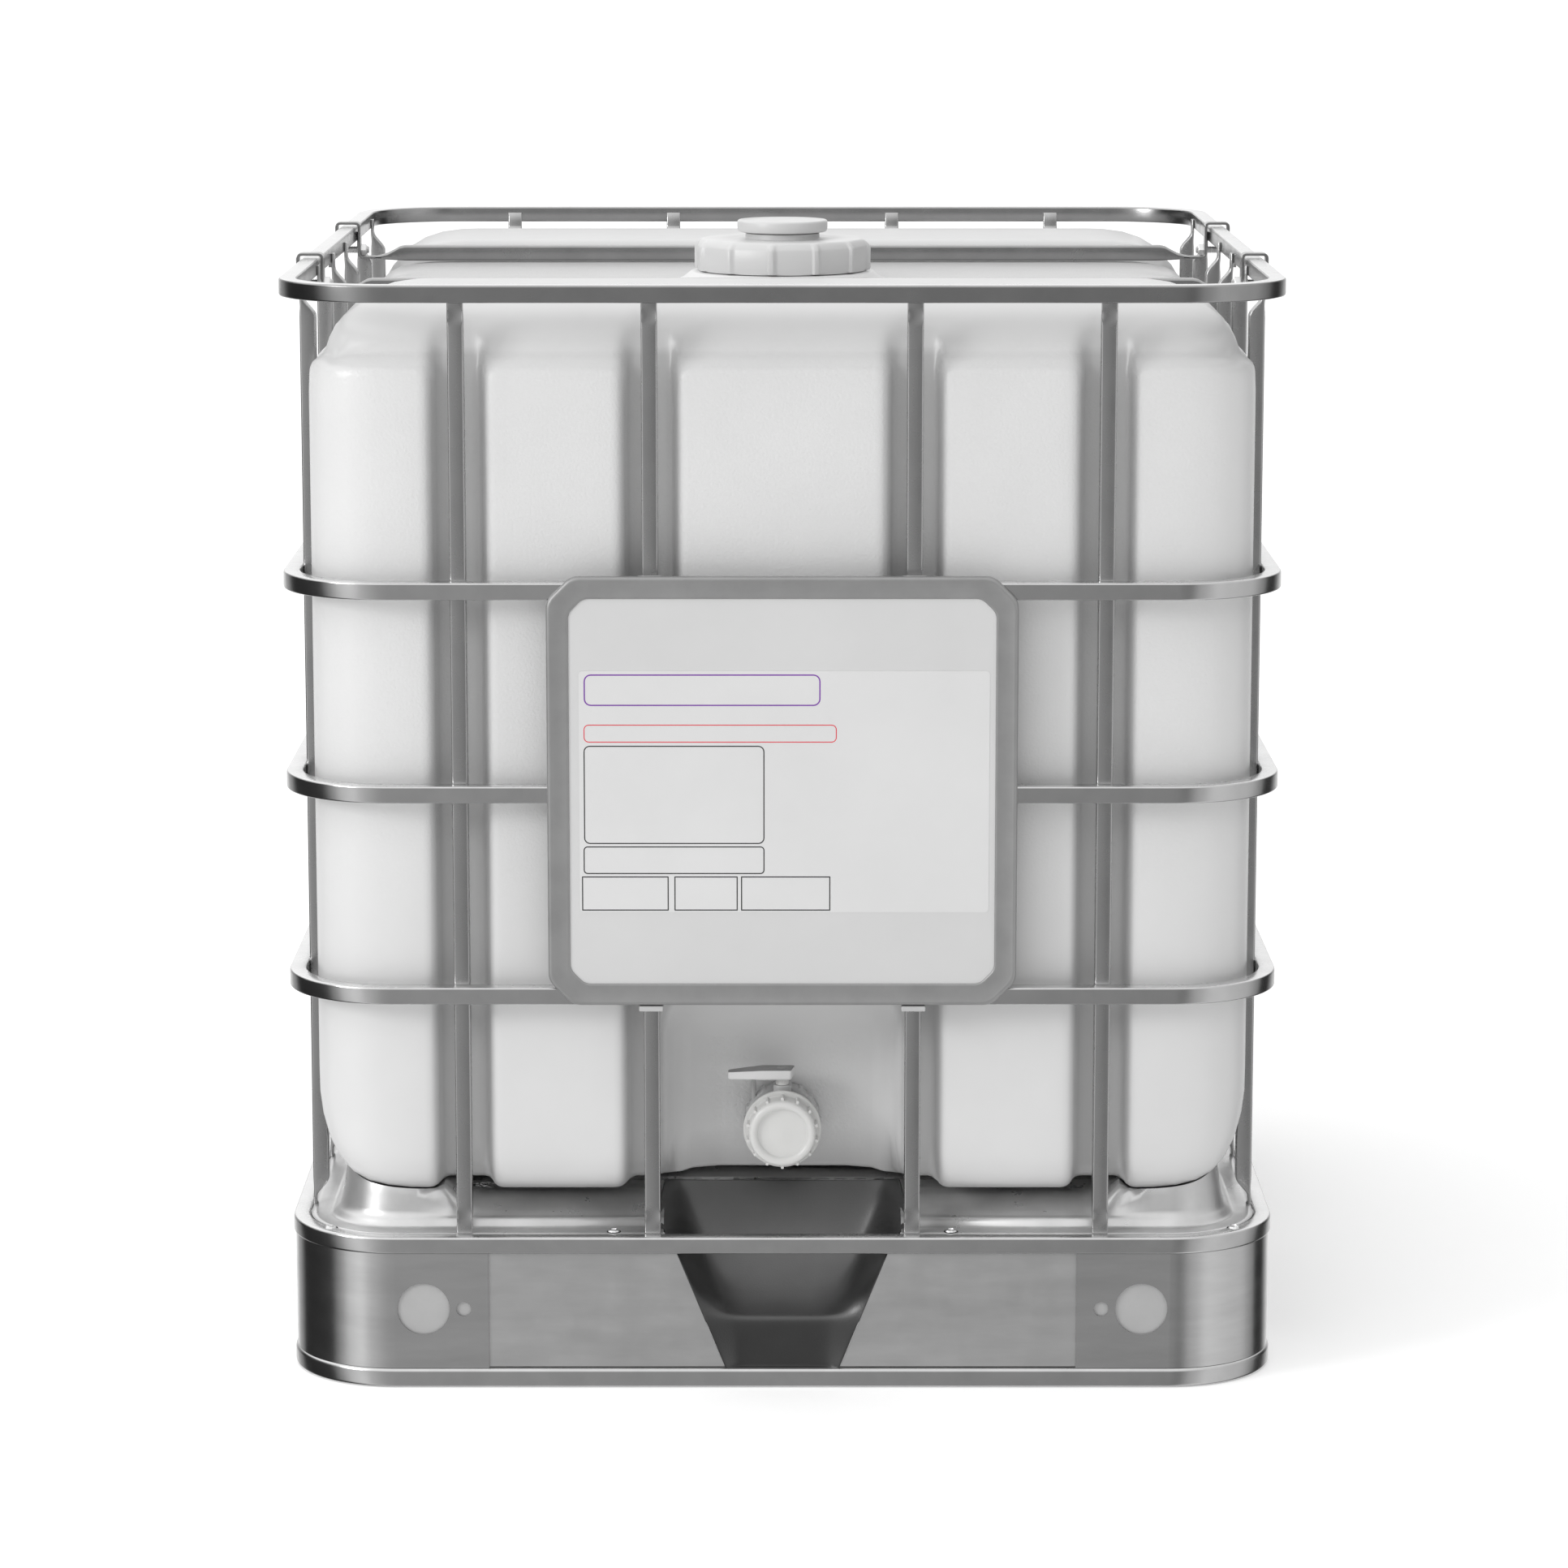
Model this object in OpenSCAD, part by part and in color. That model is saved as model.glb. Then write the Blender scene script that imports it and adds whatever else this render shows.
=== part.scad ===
// Intermediate bulk container: a blow-moulded bottle in a welded tube cage, on a
// sheet-steel pallet, with a screw lid, a vent plug and a butterfly outlet valve.
// X is the width, -Y is the valve side, +Z is up, and z = 0 is the ground.
// The origin is at the centre of the footprint.

/* [Cage] */
// Overall width of the cage and the pallet
cage_w = 1000; // [830:5:1200]
// Overall depth of the cage and the pallet
cage_l = 1200; // [1000:5:1440]
// Height of the top of the top rail above the ground
cage_h = 1111; // [950:1:1340]
// Height of the top of the upper rail
upper_rail_z = 819; // [780:1:860]
// Height of the top of the middle rail
middle_rail_z = 616; // [580:1:700]
// Height of the top of the lower rail
lower_rail_z = 412.5; // [405:0.5:500]
// Outer corner radius of every rail
corner_r = 110; // [90:1:132]
// Outside of the square tube of the rails
rail_tube = 17.5; // [14:0.5:21]
// Outside of the square tube of the uprights
post_tube = 16; // [13:0.5:19]
// Wall of the rail and upright tubes
tube_wall = 1.5; // [1:0.1:2]
// Thickness of a tube end that is pressed flat
flat_t = 3; // [2:0.5:5]
// From the cage's middle to the inner front and rear uprights
inner_post_x = 130.5; // [110:0.5:157]
// From the end of a front rail's straight to the outer uprights
outer_post_inset = 70; // [20:1:90]
// From the cage's middle to the first side uprights
near_post_y = 82; // [60:1:110]
// From the cage's middle to the second side uprights
mid_post_y = 257; // [214:1:300]
// From the end of a side rail's straight to the last side uprights
far_post_inset = 32; // [12:1:60]

/* [Tie bars] */
// Outside of the tie bars' square tube
tie_tube = 17; // [14:0.5:20]
// Drop from the top of the top rail to the top of a tie bar
tie_drop = 21; // [19:0.5:24]
// Width of the flattened strip that hooks over the rail
tie_strip_w = 18; // [14:1:22]
// Clear space between the hook and the rail
hook_gap = 2.5; // [1:0.1:4]
// Diameter of the clamping bolts
tie_bolt_d = 8; // [6:0.5:8]

/* [Bottle] */
// Wall of the bottle
bottle_wall = 3; // [2:0.1:4]
// Clear space between the bottle's sides and the side rails
bottle_gap_x = 2.5; // [1:0.5:6]
// Clear space between the bottle's ends and the end rails
bottle_gap_y = 5; // [2:0.5:8]
// Radius of the bottle's upper corners
bottle_top_r = 100; // [60:1:110]
// Radius of the bottle's lower corners
bottle_base_r = 115; // [60:1:120]
// Drop from the top of the top rail to the bottle's crest
crest_drop = 12; // [8:0.5:20]
// Depth of the trough across the bottle's top, below the crest
trough_depth = 27.5; // [20:0.5:40]
// Clear space between a tie bar and the trough's end
trough_side = 14; // [8:1:40]
// Width of the grooves that clear the uprights
groove_w = 44; // [30:1:60]
// Clear space between an upright and its groove
groove_clear = 3.5; // [1:0.5:6]

/* [Fill opening] */
// Bore radius of the fill neck
neck_bore_r = 75; // [60:0.5:90]
// Wall of the fill neck
neck_wall = 7.5; // [5:0.5:9]
// Height of the neck above the trough
neck_h = 36.5; // [30:0.5:45]
// How far the collar stands out at the neck's root
collar_ledge = 18.5; // [15:0.5:24]
// Gap between the neck's thread and the lid's bore
lid_fit = 0.5; // [0.35:0.05:1]
// Wall of the lid's skirt
lid_skirt = 10; // [6:0.5:12]
// Height that the lid's grip ribs stand out
lid_rib = 3; // [1:0.5:4]
// Number of grip ribs on the lid
lid_ribs = 12; // [6:1:24]
// Thickness of the lid's top
lid_top = 5.5; // [4:0.5:8]
// Depth of the lid from its skirt's edge to its top
lid_h = 34; // [28:0.5:36]
// Radius of the vent plug's head
vent_r = 49; // [42:0.5:60]
// Thickness of the vent plug's head
vent_h = 12.8; // [8:0.1:16]
// Radius of the threaded hole for the vent plug
vent_hole_r = 27; // [20:0.5:32]
// Thickness of every flat seal
seal_t = 1.5; // [1:0.1:3]

/* [Outlet valve] */
// Height of the outlet's axis above the bottle's floor
outlet_rise = 75; // [68:0.5:80]
// Depth of the valve pocket in the bottle's front
pocket_depth = 82.5; // [78:0.5:100]
// Half of the valve pocket's width
pocket_half = 118; // [90:1:122]
// Height of the valve pocket above the outlet's axis
pocket_rise = 115; // [95:1:128]
// Bore radius of the outlet and the valve
outlet_bore_r = 25; // [20:0.5:30]
// Wall of the bottle's outlet spigot
spigot_wall = 5; // [4:0.5:7]
// Wall of the valve's threaded end, threads included
thread_wall = 4.7; // [3:0.1:4.8]
// Wall of the union nut
union_wall = 5.7; // [4:0.1:7]
// Wall of the outlet cap
cap_wall = 4; // [3:0.5:5]
// How far the outlet cap's flange stands out
cap_ledge = 5.3; // [2:0.1:6]
// Gap between the outlet thread and the cap's bore
cap_fit = 0.3; // [0.2:0.05:1]
// Radius of the valve's stem
stem_r = 4; // [3:0.5:5]
// Radial running clearance of the stem
stem_fit = 0.05; // [0.02:0.01:0.08]
// Thickness of the butterfly disc
disc_t = 5; // [4:0.5:6]
// Length of the lever from the stem to its tip
lever_len = 55; // [40:1:58]
// Width of the lever at the stem
lever_w = 25; // [20:1:26]
// Thickness of the lever
lever_t = 10; // [6:0.5:12]

/* [Label plate] */
// Half of the plate's width
plate_half = 232.5; // [180:0.5:262]
// How far the plate reaches above the upper rail
plate_rise = 7; // [4:0.5:30]
// How far the plate stands out from the rails
plate_depth = 8; // [6:0.5:15]
// Width of the plate's border round the panel
plate_border = 22; // [12:0.5:30]
// Leg of the cut corners
plate_cut = 25; // [10:0.5:40]
// Thickness of the pallet's and the plate's sheet
sheet_t = 1.5; // [1:0.1:2]

/* [Pallet] */
// Height of the top of the cage's foot rail above the ground
pallet_h = 156; // [150:0.5:170]
// Height of the pallet's bottom runner
runner_h = 19.5; // [15:0.5:24]
// Rise of the pan's floor above the foot rail
pan_rise = 26; // [15:0.5:34]
// Width of the pan's flange
flange_w = 20; // [14:0.5:26]
// From a corner skirt's end to the pallet's middle, along the front
skirt_end_x = 295.7; // [250:0.1:330]
// From a corner skirt's end to the pallet's middle, along the side
skirt_end_y = 400; // [340:1:450]
// Radius of the skirts' large holes
big_hole_r = 26.5; // [20:0.5:32]
// Radius of the skirts' small holes
small_hole_r = 7.5; // [4:0.5:9]
// From the pallet's side to a large hole's centre
big_hole_inset = 138.5; // [130:0.5:160]
// Distance between the centres of a large and a small hole
hole_pitch = 40.5; // [38:0.5:44]
// Half of the chute's mouth at the foot rail
chute_top_half = 105; // [80:1:115]
// Half of the chute's mouth at the runner
chute_base_half = 57; // [30:1:70]
// Height of the chute's front lip above the ground
chute_lip_z = 70; // [40:1:90]
// Wall of the chute
chute_wall = 4; // [2:0.5:6]
// Width of the middle feet
foot_w = 120; // [80:1:170]

/* [Hidden] */
SIDES = [-1, 1];
front_posts = [for (i = [1:4]) str("front_upright_", i)];
rear_posts = [for (i = [1:4]) str("rear_upright_", i)];
left_posts = [for (i = [1:6]) str("left_upright_", i)];
right_posts = [for (i = [1:6]) str("right_upright_", i)];

// Cuts run this far past a face
over = 1;
round_fn = 64;

// Cage
rail_in_x = cage_w / 2 - rail_tube;
rail_in_y = cage_l / 2 - rail_tube;
outer_post_x = cage_w / 2 - corner_r - outer_post_inset;
far_post_y = cage_l / 2 - corner_r - far_post_inset;
end_posts = [-outer_post_x, -inner_post_x, inner_post_x, outer_post_x];
side_posts = [-far_post_y, -mid_post_y, -near_post_y, near_post_y, mid_post_y, far_post_y];
tab_len = 14;
tab_bend = 22;
tab_steps = 8;
tab_inset = 6.5;
post_z0 = pallet_h - tab_inset - 1.5;
post_z1 = cage_h - tab_inset;
stub_w = 14;
stub_drop = 10;

// Tie bars
tie_y = mid_post_y - post_tube / 2 - 1 - tie_strip_w / 2;
hook_run = 16;
tube_run = 15;
tie_z1 = cage_h - tie_drop;
tie_z0 = tie_z1 - tie_tube;
hook_in_x = rail_in_x - hook_gap;
hook_out_x = cage_w / 2 + hook_gap;
hook_top_z = cage_h + hook_gap;
tie_end_x = hook_in_x - flat_t - hook_run;
tie_tube_x = tie_end_x - tube_run;
tie_bolt_gap = 4.5;
tie_bolt_z = cage_h - rail_tube - tie_bolt_d / 2 - tie_bolt_gap;
tie_head_h = 3;
tie_nut_h = 7;
tie_nut_r = 7;
strip_z = tie_bolt_z - tie_nut_r - flat_t;

// Bottle
bottle_x = rail_in_x - bottle_gap_x;
bottle_y = rail_in_y - bottle_gap_y;
bottle_z0 = pallet_h + pan_rise;
crest_z = cage_h - crest_drop;
trough_z = crest_z - trough_depth;
trough_half = tie_y + tie_strip_w / 2 + trough_side;
groove_x = rail_in_x - post_tube - groove_clear;
groove_y = rail_in_y - post_tube - groove_clear;
hull_fn = 32;
hull_reach = cos(180 / hull_fn);
neck_r = neck_bore_r + neck_wall;
neck_z = trough_z + neck_h;
collar_r = neck_r + collar_ledge;
collar_h = 8.5;

// Lid and vent
lid_z1 = neck_z + seal_t + lid_top;
lid_z0 = lid_z1 - lid_h;
lid_bore_r = neck_r + lid_fit;
lid_r = lid_bore_r + lid_skirt;
lid_chamfer = 6;
vent_boss_r = vent_r - 9;
vent_boss_h = 6;
vent_seal_t = 1;
vent_z0 = lid_z1 + vent_boss_h + vent_seal_t;
vent_stem = 18;
vent_fit = 0.35;

// Valve, along the outlet's axis from the pocket's wall to the front
outlet_z = bottle_z0 + outlet_rise;
pocket_y = bottle_y - pocket_depth;
pocket_top = outlet_z + pocket_rise;
spigot_r = outlet_bore_r + spigot_wall;
spigot_len = 18;
flange_t = 4;
flange_r = spigot_r + 3.5;
union_lip = 3;
union_fit = 0.3;
union_r = flange_r + union_fit + union_wall;
seal_y = pocket_y + spigot_len;
flange_y = seal_y + 2;
stem_y = flange_y + flange_t + 17;
barrel_r = spigot_r + 1;
barrel_y = stem_y + 14;
thread_r = outlet_bore_r + thread_wall;
thread_y = barrel_y + 18;
cap_r = thread_r + cap_fit + cap_wall;
cap_flange_r = cap_r + cap_ledge;
cap_rim_y = barrel_y + 1;
cap_rim_t = 5;
cap_y = thread_y + 10;
boss_r = 9;
boss_top = outlet_z + union_r + 2.5;
disc_r = outlet_bore_r - 0.6;
seat_r = outlet_bore_r - 0.25;
seat_half = 4;
lever_z = boss_top + 7;

// Pallet
foot_rail_z = pallet_h - rail_tube;
skirt_inset = 2;
panel_inset = 4;
pan_floor_z = bottle_z0;
pan_flange_z = pallet_h - 0.6;
pan_play = 0.5;
pan_slope = 38;
pan_corner_steps = 16;
pan_notch = chute_top_half + 17;
pan_notch_y = pocket_y - 5;
cup_top_z = bottle_z0 + 53;
cup_top_r = sqrt(pow(bottle_base_r, 2) - pow(bottle_z0 + bottle_base_r - cup_top_z, 2)) + 2;
cup_base_r = cup_top_r + 15;
cup_skip = 10;
screw_r = 6;
screw_xs = [outer_post_x + 137, inner_post_x + 39.5];
hole_z = (runner_h + foot_rail_z) / 2 + 2;
corner_post_w = 190;
beam_w = 40;
beam_y = 300;
chute_y = cage_l / 2 - 3;
chute_z0 = runner_h + 0.5;
chute_z1 = foot_rail_z - 0.5;
chute_back_y = pocket_y + 8;
chute_back_z = outlet_z - union_r - 16;
chute_back_half = chute_top_half + 12;
chute_floor_half = chute_base_half + 20;

// Label plate
plate_z0 = lower_rail_z - rail_tube + 1;
plate_z1 = upper_rail_z + plate_rise;
plate_y = cage_l / 2 + plate_depth;
panel_y = plate_y - sheet_t - 1;
sheet_margin = 6;
sheet_drop = 69;
sheet_h = 236;
sheet_film = 0.3;

// A rounded rectangle, centred
module rounded_rect(w, l, r) {
    square([w - 2 * r, l], center = true);
    square([w, l - 2 * r], center = true);
    for (sx = SIDES)
        for (sy = SIDES)
            translate([sx * (w / 2 - r), sy * (l / 2 - r)])
                circle(r, $fn = round_fn);
}

// A block with the cage's rounded plan, drawn in from the cage's outside by inset
module plan_block(inset, h) {
    linear_extrude(h)
        rounded_rect(cage_w - 2 * inset, cage_l - 2 * inset, corner_r - inset);
}

// A solid ring of the cage's plan, t wide, inset from the outside
module plan_ring(inset, t, h) {
    difference() {
        plan_block(inset, h);
        translate([0, 0, -over])
            plan_block(inset + t, h + 2 * over);
    }
}

// A rail: one square tube bent round the cage, with its top at z
module rail(z) {
    translate([0, 0, z - rail_tube])
        difference() {
            plan_ring(0, rail_tube, rail_tube);
            translate([0, 0, tube_wall])
                plan_ring(tube_wall, rail_tube - 2 * tube_wall, rail_tube - 2 * tube_wall);
        }
}

// A square tube along X, centred
module tube_x(len, side, wall) {
    difference() {
        cube([len, side, side], center = true);
        cube([len - 2 * wall, side - 2 * wall, side - 2 * wall], center = true);
    }
}

// An upright, with its outer face on y = 0 and its flattened ends on that face
module upright() {
    rise = post_tube - flat_t;
    lower = [
        for (i = [0:tab_steps])
            [flat_t + rise * (1 - cos(180 * i / tab_steps)) / 2,
             post_z0 + tab_len + tab_bend * i / tab_steps]
    ];
    upper = [
        for (i = [0:tab_steps])
            [flat_t + rise * (1 + cos(180 * i / tab_steps)) / 2,
             post_z1 - tab_len - tab_bend + tab_bend * i / tab_steps]
    ];
    tips = [[flat_t, post_z1], [0, post_z1], [0, post_z0], [flat_t, post_z0]];
    hollow_z0 = post_z0 + tab_len + tab_bend;
    hollow_h = post_z1 - post_z0 - 2 * (tab_len + tab_bend);
    difference() {
        rotate([90, 0, 90])
            linear_extrude(post_tube, center = true)
                polygon(concat(lower, upper, tips));
        translate([tube_wall - post_tube / 2, tube_wall, hollow_z0])
            cube([post_tube - 2 * tube_wall, post_tube - 2 * tube_wall, hollow_h]);
    }
}

module front_upright(i) {
    color("silver")
        translate([end_posts[i], -rail_in_y, 0])
            upright();
}

module rear_upright(i) {
    color("silver")
        translate([end_posts[i], rail_in_y, 0])
            mirror([0, 1, 0])
                upright();
}

module left_upright(i) {
    color("silver")
        translate([-rail_in_x, side_posts[i], 0])
            rotate([0, 0, -90])
                upright();
}

module right_upright(i) {
    color("silver")
        translate([rail_in_x, side_posts[i], 0])
            rotate([0, 0, 90])
                upright();
}

// The top rail carries a short stub under the middle of each side
module top_rail() {
    color("silver") {
        rail(cage_h);
        for (sx = SIDES)
            translate([
                sx * (rail_in_x + rail_tube / 2) - flat_t / 2,
                -stub_w / 2,
                cage_h - rail_tube - stub_drop
            ])
                cube([flat_t, stub_w, stub_drop]);
    }
}

module upper_rail() {
    color("silver") rail(upper_rail_z);
}

module middle_rail() {
    color("silver") rail(middle_rail_z);
}

module lower_rail() {
    color("silver") rail(lower_rail_z);
}

module foot_rail() {
    color("silver") rail(pallet_h);
}

// One end of a tie bar: the tube narrows to a strip that hooks over the side rail
module tie_end() {
    leg_z0 = tie_bolt_z - tie_bolt_d;
    top_z = hook_top_z + flat_t;
    difference() {
        rotate([90, 0, 0])
            linear_extrude(tie_strip_w, center = true)
                polygon([
                    [tie_tube_x - over, tie_z0],
                    [tie_end_x, strip_z],
                    [hook_in_x - flat_t, strip_z],
                    [hook_in_x, strip_z + flat_t],
                    [hook_in_x, hook_top_z],
                    [hook_out_x, hook_top_z],
                    [hook_out_x, leg_z0],
                    [hook_out_x + flat_t, leg_z0],
                    [hook_out_x + flat_t, top_z],
                    [hook_in_x - flat_t, top_z],
                    [hook_in_x - flat_t, strip_z + flat_t],
                    [tie_end_x, strip_z + flat_t],
                    [tie_tube_x - over, tie_z1]
                ]);
        translate([hook_in_x - 2 * flat_t, 0, tie_bolt_z])
            rotate([0, 90, 0])
                cylinder(r = tie_bolt_d / 2, h = cage_w, $fn = round_fn);
    }
}

module tie_bar() {
    tube_len = 2 * tie_tube_x;
    translate([0, 0, (tie_z0 + tie_z1) / 2])
        tube_x(tube_len, tie_tube, tube_wall);
    tie_end();
    mirror([1, 0, 0])
        tie_end();
}

module front_tie_bar() {
    color("silver")
        translate([0, -tie_y, 0])
            tie_bar();
}

module rear_tie_bar() {
    color("silver")
        translate([0, tie_y, 0])
            tie_bar();
}

// Places its children at the four hooks, with +X pointing outwards
module at_hooks() {
    for (sy = SIDES)
        for (turn = [0, 180])
            translate([0, sy * tie_y, tie_bolt_z])
                rotate([0, 0, turn])
                    children();
}

module tie_bolts() {
    shank_x0 = hook_in_x - flat_t - tie_nut_h - 2;
    head_x = hook_out_x + flat_t;
    color("gainsboro")
        at_hooks() {
            translate([shank_x0, 0, 0])
                rotate([0, 90, 0])
                    cylinder(r = tie_bolt_d / 2, h = head_x - shank_x0 + over, $fn = round_fn);
            translate([head_x, 0, 0])
                rotate([0, 90, 0])
                    cylinder(r = tie_bolt_d - 1, h = tie_head_h, $fn = round_fn);
        }
}

module tie_nuts() {
    color("gainsboro")
        at_hooks()
            translate([hook_in_x - flat_t - tie_nut_h, 0, 0])
                rotate([0, 90, 0])
                    difference() {
                        cylinder(r = tie_nut_r, h = tie_nut_h, $fn = 6);
                        translate([0, 0, -over])
                            cylinder(r = tie_bolt_d / 2, h = tie_nut_h + 2 * over, $fn = round_fn);
                    }
}

// A ball whose facets reach out to r
module corner_ball(r) {
    sphere(r / hull_reach, $fn = hull_fn);
}

// The bottle's rounded block, drawn in by inset
module bottle_block(inset) {
    hull()
        for (sx = SIDES)
            for (sy = SIDES) {
                translate([
                    sx * (bottle_x - bottle_base_r),
                    sy * (bottle_y - bottle_base_r),
                    bottle_z0 + bottle_base_r
                ])
                    corner_ball(bottle_base_r - inset);
                translate([
                    sx * (bottle_x - bottle_top_r),
                    sy * (bottle_y - bottle_top_r),
                    crest_z - bottle_top_r
                ])
                    corner_ball(bottle_top_r - inset);
            }
}

// What is taken out of the bottle's block, each cut deeper by grow
module bottle_cuts(grow) {
    half = groove_w / 2 + grow;
    for (x = end_posts)
        for (sy = SIDES)
            translate([x - half, sy > 0 ? groove_y - grow : -cage_l / 2, bottle_z0 - over])
                cube([2 * half, cage_l / 2 - groove_y + grow, cage_h]);
    for (y = side_posts)
        for (sx = SIDES)
            translate([sx > 0 ? groove_x - grow : -cage_w / 2, y - half, bottle_z0 - over])
                cube([cage_w / 2 - groove_x + grow, 2 * half, cage_h]);
    translate([-cage_w / 2, -trough_half - grow, trough_z - grow])
        cube([cage_w, 2 * (trough_half + grow), cage_h]);
    translate([-pocket_half - grow, -cage_l / 2, bottle_z0 - over])
        cube([
            2 * (pocket_half + grow),
            cage_l / 2 - pocket_y + grow,
            pocket_top + grow - bottle_z0 + over
        ]);
}

// A cylinder along the outlet, from y = -from to y = -to
module outlet_rod(from, to, r, fn = round_fn) {
    translate([0, -from, outlet_z])
        rotate([90, 0, 0])
            cylinder(r = r, h = to - from, $fn = fn);
}

// A tube along the outlet
module outlet_tube(from, to, r_out, r_in) {
    difference() {
        outlet_rod(from, to, r_out);
        outlet_rod(from - over, to + over, r_in);
    }
}

module bottle() {
    color("white")
        difference() {
            union() {
                difference() {
                    bottle_block(0);
                    bottle_cuts(0);
                }
                translate([0, 0, trough_z - bottle_wall])
                    cylinder(r = neck_r, h = neck_h + bottle_wall, $fn = round_fn);
                translate([0, 0, trough_z - bottle_wall])
                    cylinder(r = collar_r, h = collar_h + bottle_wall, $fn = round_fn);
                outlet_rod(pocket_y - bottle_wall, seal_y, spigot_r);
            }
            difference() {
                bottle_block(bottle_wall);
                bottle_cuts(bottle_wall);
            }
            translate([0, 0, trough_z - 2 * bottle_wall])
                cylinder(r = neck_bore_r, h = neck_h + 3 * bottle_wall, $fn = round_fn);
            outlet_rod(pocket_y - 2 * bottle_wall, seal_y + over, outlet_bore_r);
        }
}

// Radial ribs round Z, from r_in to r_out
module rib_ring(count, r_in, r_out, width, h) {
    for (i = [0:count - 1])
        rotate([0, 0, 360 * i / count])
            translate([r_in, -width / 2, 0])
                cube([r_out - r_in, width, h]);
}

module lid() {
    rib_h = lid_h - lid_chamfer;
    color("whitesmoke")
        difference() {
            union() {
                translate([0, 0, lid_z0]) {
                    cylinder(r = lid_r, h = rib_h, $fn = round_fn);
                    rib_ring(lid_ribs, lid_r - 2, lid_r + lid_rib, 12, rib_h);
                }
                translate([0, 0, lid_z0 + rib_h])
                    cylinder(r1 = lid_r, r2 = lid_r - lid_chamfer, h = lid_chamfer, $fn = round_fn);
                translate([0, 0, lid_z1 - over])
                    cylinder(r = vent_boss_r, h = vent_boss_h + over, $fn = round_fn);
            }
            translate([0, 0, lid_z0 - over])
                cylinder(r = lid_bore_r, h = lid_h - lid_top + over, $fn = round_fn);
            translate([0, 0, lid_z0])
                cylinder(r = vent_hole_r, h = lid_h + vent_boss_h + over, $fn = round_fn);
        }
}

// A flat ring on the Z axis
module flat_ring(z, h, r_out, r_in) {
    translate([0, 0, z])
        difference() {
            cylinder(r = r_out, h = h, $fn = round_fn);
            translate([0, 0, -over])
                cylinder(r = r_in, h = h + 2 * over, $fn = round_fn);
        }
}

module lid_seal() {
    color("dimgray") flat_ring(neck_z, seal_t, neck_r - 0.5, neck_bore_r);
}

module vent_seal() {
    color("dimgray") flat_ring(vent_z0 - vent_seal_t, vent_seal_t, vent_boss_r, vent_hole_r);
}

// The vent plug: a flat head on a hollow threaded stem
module vent_plug() {
    stem_out = vent_hole_r - vent_fit;
    color("whitesmoke") {
        translate([0, 0, vent_z0])
            cylinder(r = vent_r, h = vent_h, $fn = round_fn);
        flat_ring(vent_z0 - vent_stem, vent_stem + over, stem_out, stem_out - 4);
    }
}

module valve_body() {
    color("whitesmoke")
        difference() {
            union() {
                outlet_rod(flange_y, flange_y + flange_t, flange_r);
                outlet_rod(flange_y, barrel_y, barrel_r);
                outlet_rod(barrel_y - over, thread_y, thread_r);
                translate([0, -stem_y, outlet_z])
                    cylinder(r = boss_r, h = boss_top - outlet_z, $fn = round_fn);
            }
            outlet_rod(flange_y - over, thread_y + over, outlet_bore_r);
            outlet_rod(stem_y - seat_half, stem_y + seat_half, outlet_bore_r + 2);
            translate([0, -stem_y, outlet_z])
                cylinder(r = stem_r + stem_fit, h = boss_top, $fn = round_fn);
        }
}

module valve_seat() {
    color("dimgray")
        difference() {
            outlet_tube(stem_y - seat_half, stem_y + seat_half, outlet_bore_r + 2, seat_r);
            translate([0, -stem_y, outlet_z])
                cylinder(r = stem_r + stem_fit, h = outlet_z, $fn = round_fn);
        }
}

// The union nut clamps the valve's flange and seal to the bottle's spigot
module valve_union_nut() {
    lip_y = flange_y + flange_t + union_fit;
    post_x = 29;
    post_w = 4.5;
    color("whitesmoke")
        difference() {
            union() {
                outlet_rod(pocket_y + 4, lip_y + union_lip, union_r);
                translate([-post_x - post_w / 2, -lip_y, outlet_z + 24])
                    cube([post_w, 6, 18.5]);
            }
            outlet_rod(pocket_y, seal_y, spigot_r + union_fit);
            outlet_rod(seal_y - union_fit, lip_y, flange_r + union_fit);
            outlet_rod(lip_y - over, lip_y + union_lip + over, barrel_r + union_fit);
        }
}

module valve_flange_seal() {
    color("dimgray") outlet_tube(seal_y, flange_y, spigot_r, outlet_bore_r);
}

module valve_disc() {
    color("gainsboro")
        difference() {
            outlet_rod(stem_y - disc_t / 2, stem_y + disc_t / 2, disc_r);
            translate([0, -stem_y, outlet_z - disc_r - over])
                cylinder(r = disc_t / 2 - 0.5, h = 2 * (disc_r + over), $fn = round_fn);
        }
}

// The stem is thin where it runs through the disc and full size in its bearing
module valve_stem() {
    thin_r = disc_t / 2 - 0.5;
    full_z = outlet_z + disc_r + 0.2;
    color("gainsboro")
        translate([0, -stem_y, 0]) {
            translate([0, 0, outlet_z - disc_r + over])
                cylinder(r = thin_r, h = 2 * disc_r, $fn = round_fn);
            translate([0, 0, full_z])
                cylinder(r = stem_r, h = lever_z + lever_t - full_z, $fn = round_fn);
            translate([0, 0, boss_top + 0.3])
                cylinder(r = stem_r + 2.4, h = lever_z - boss_top - 0.3, $fn = round_fn);
        }
}

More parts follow.
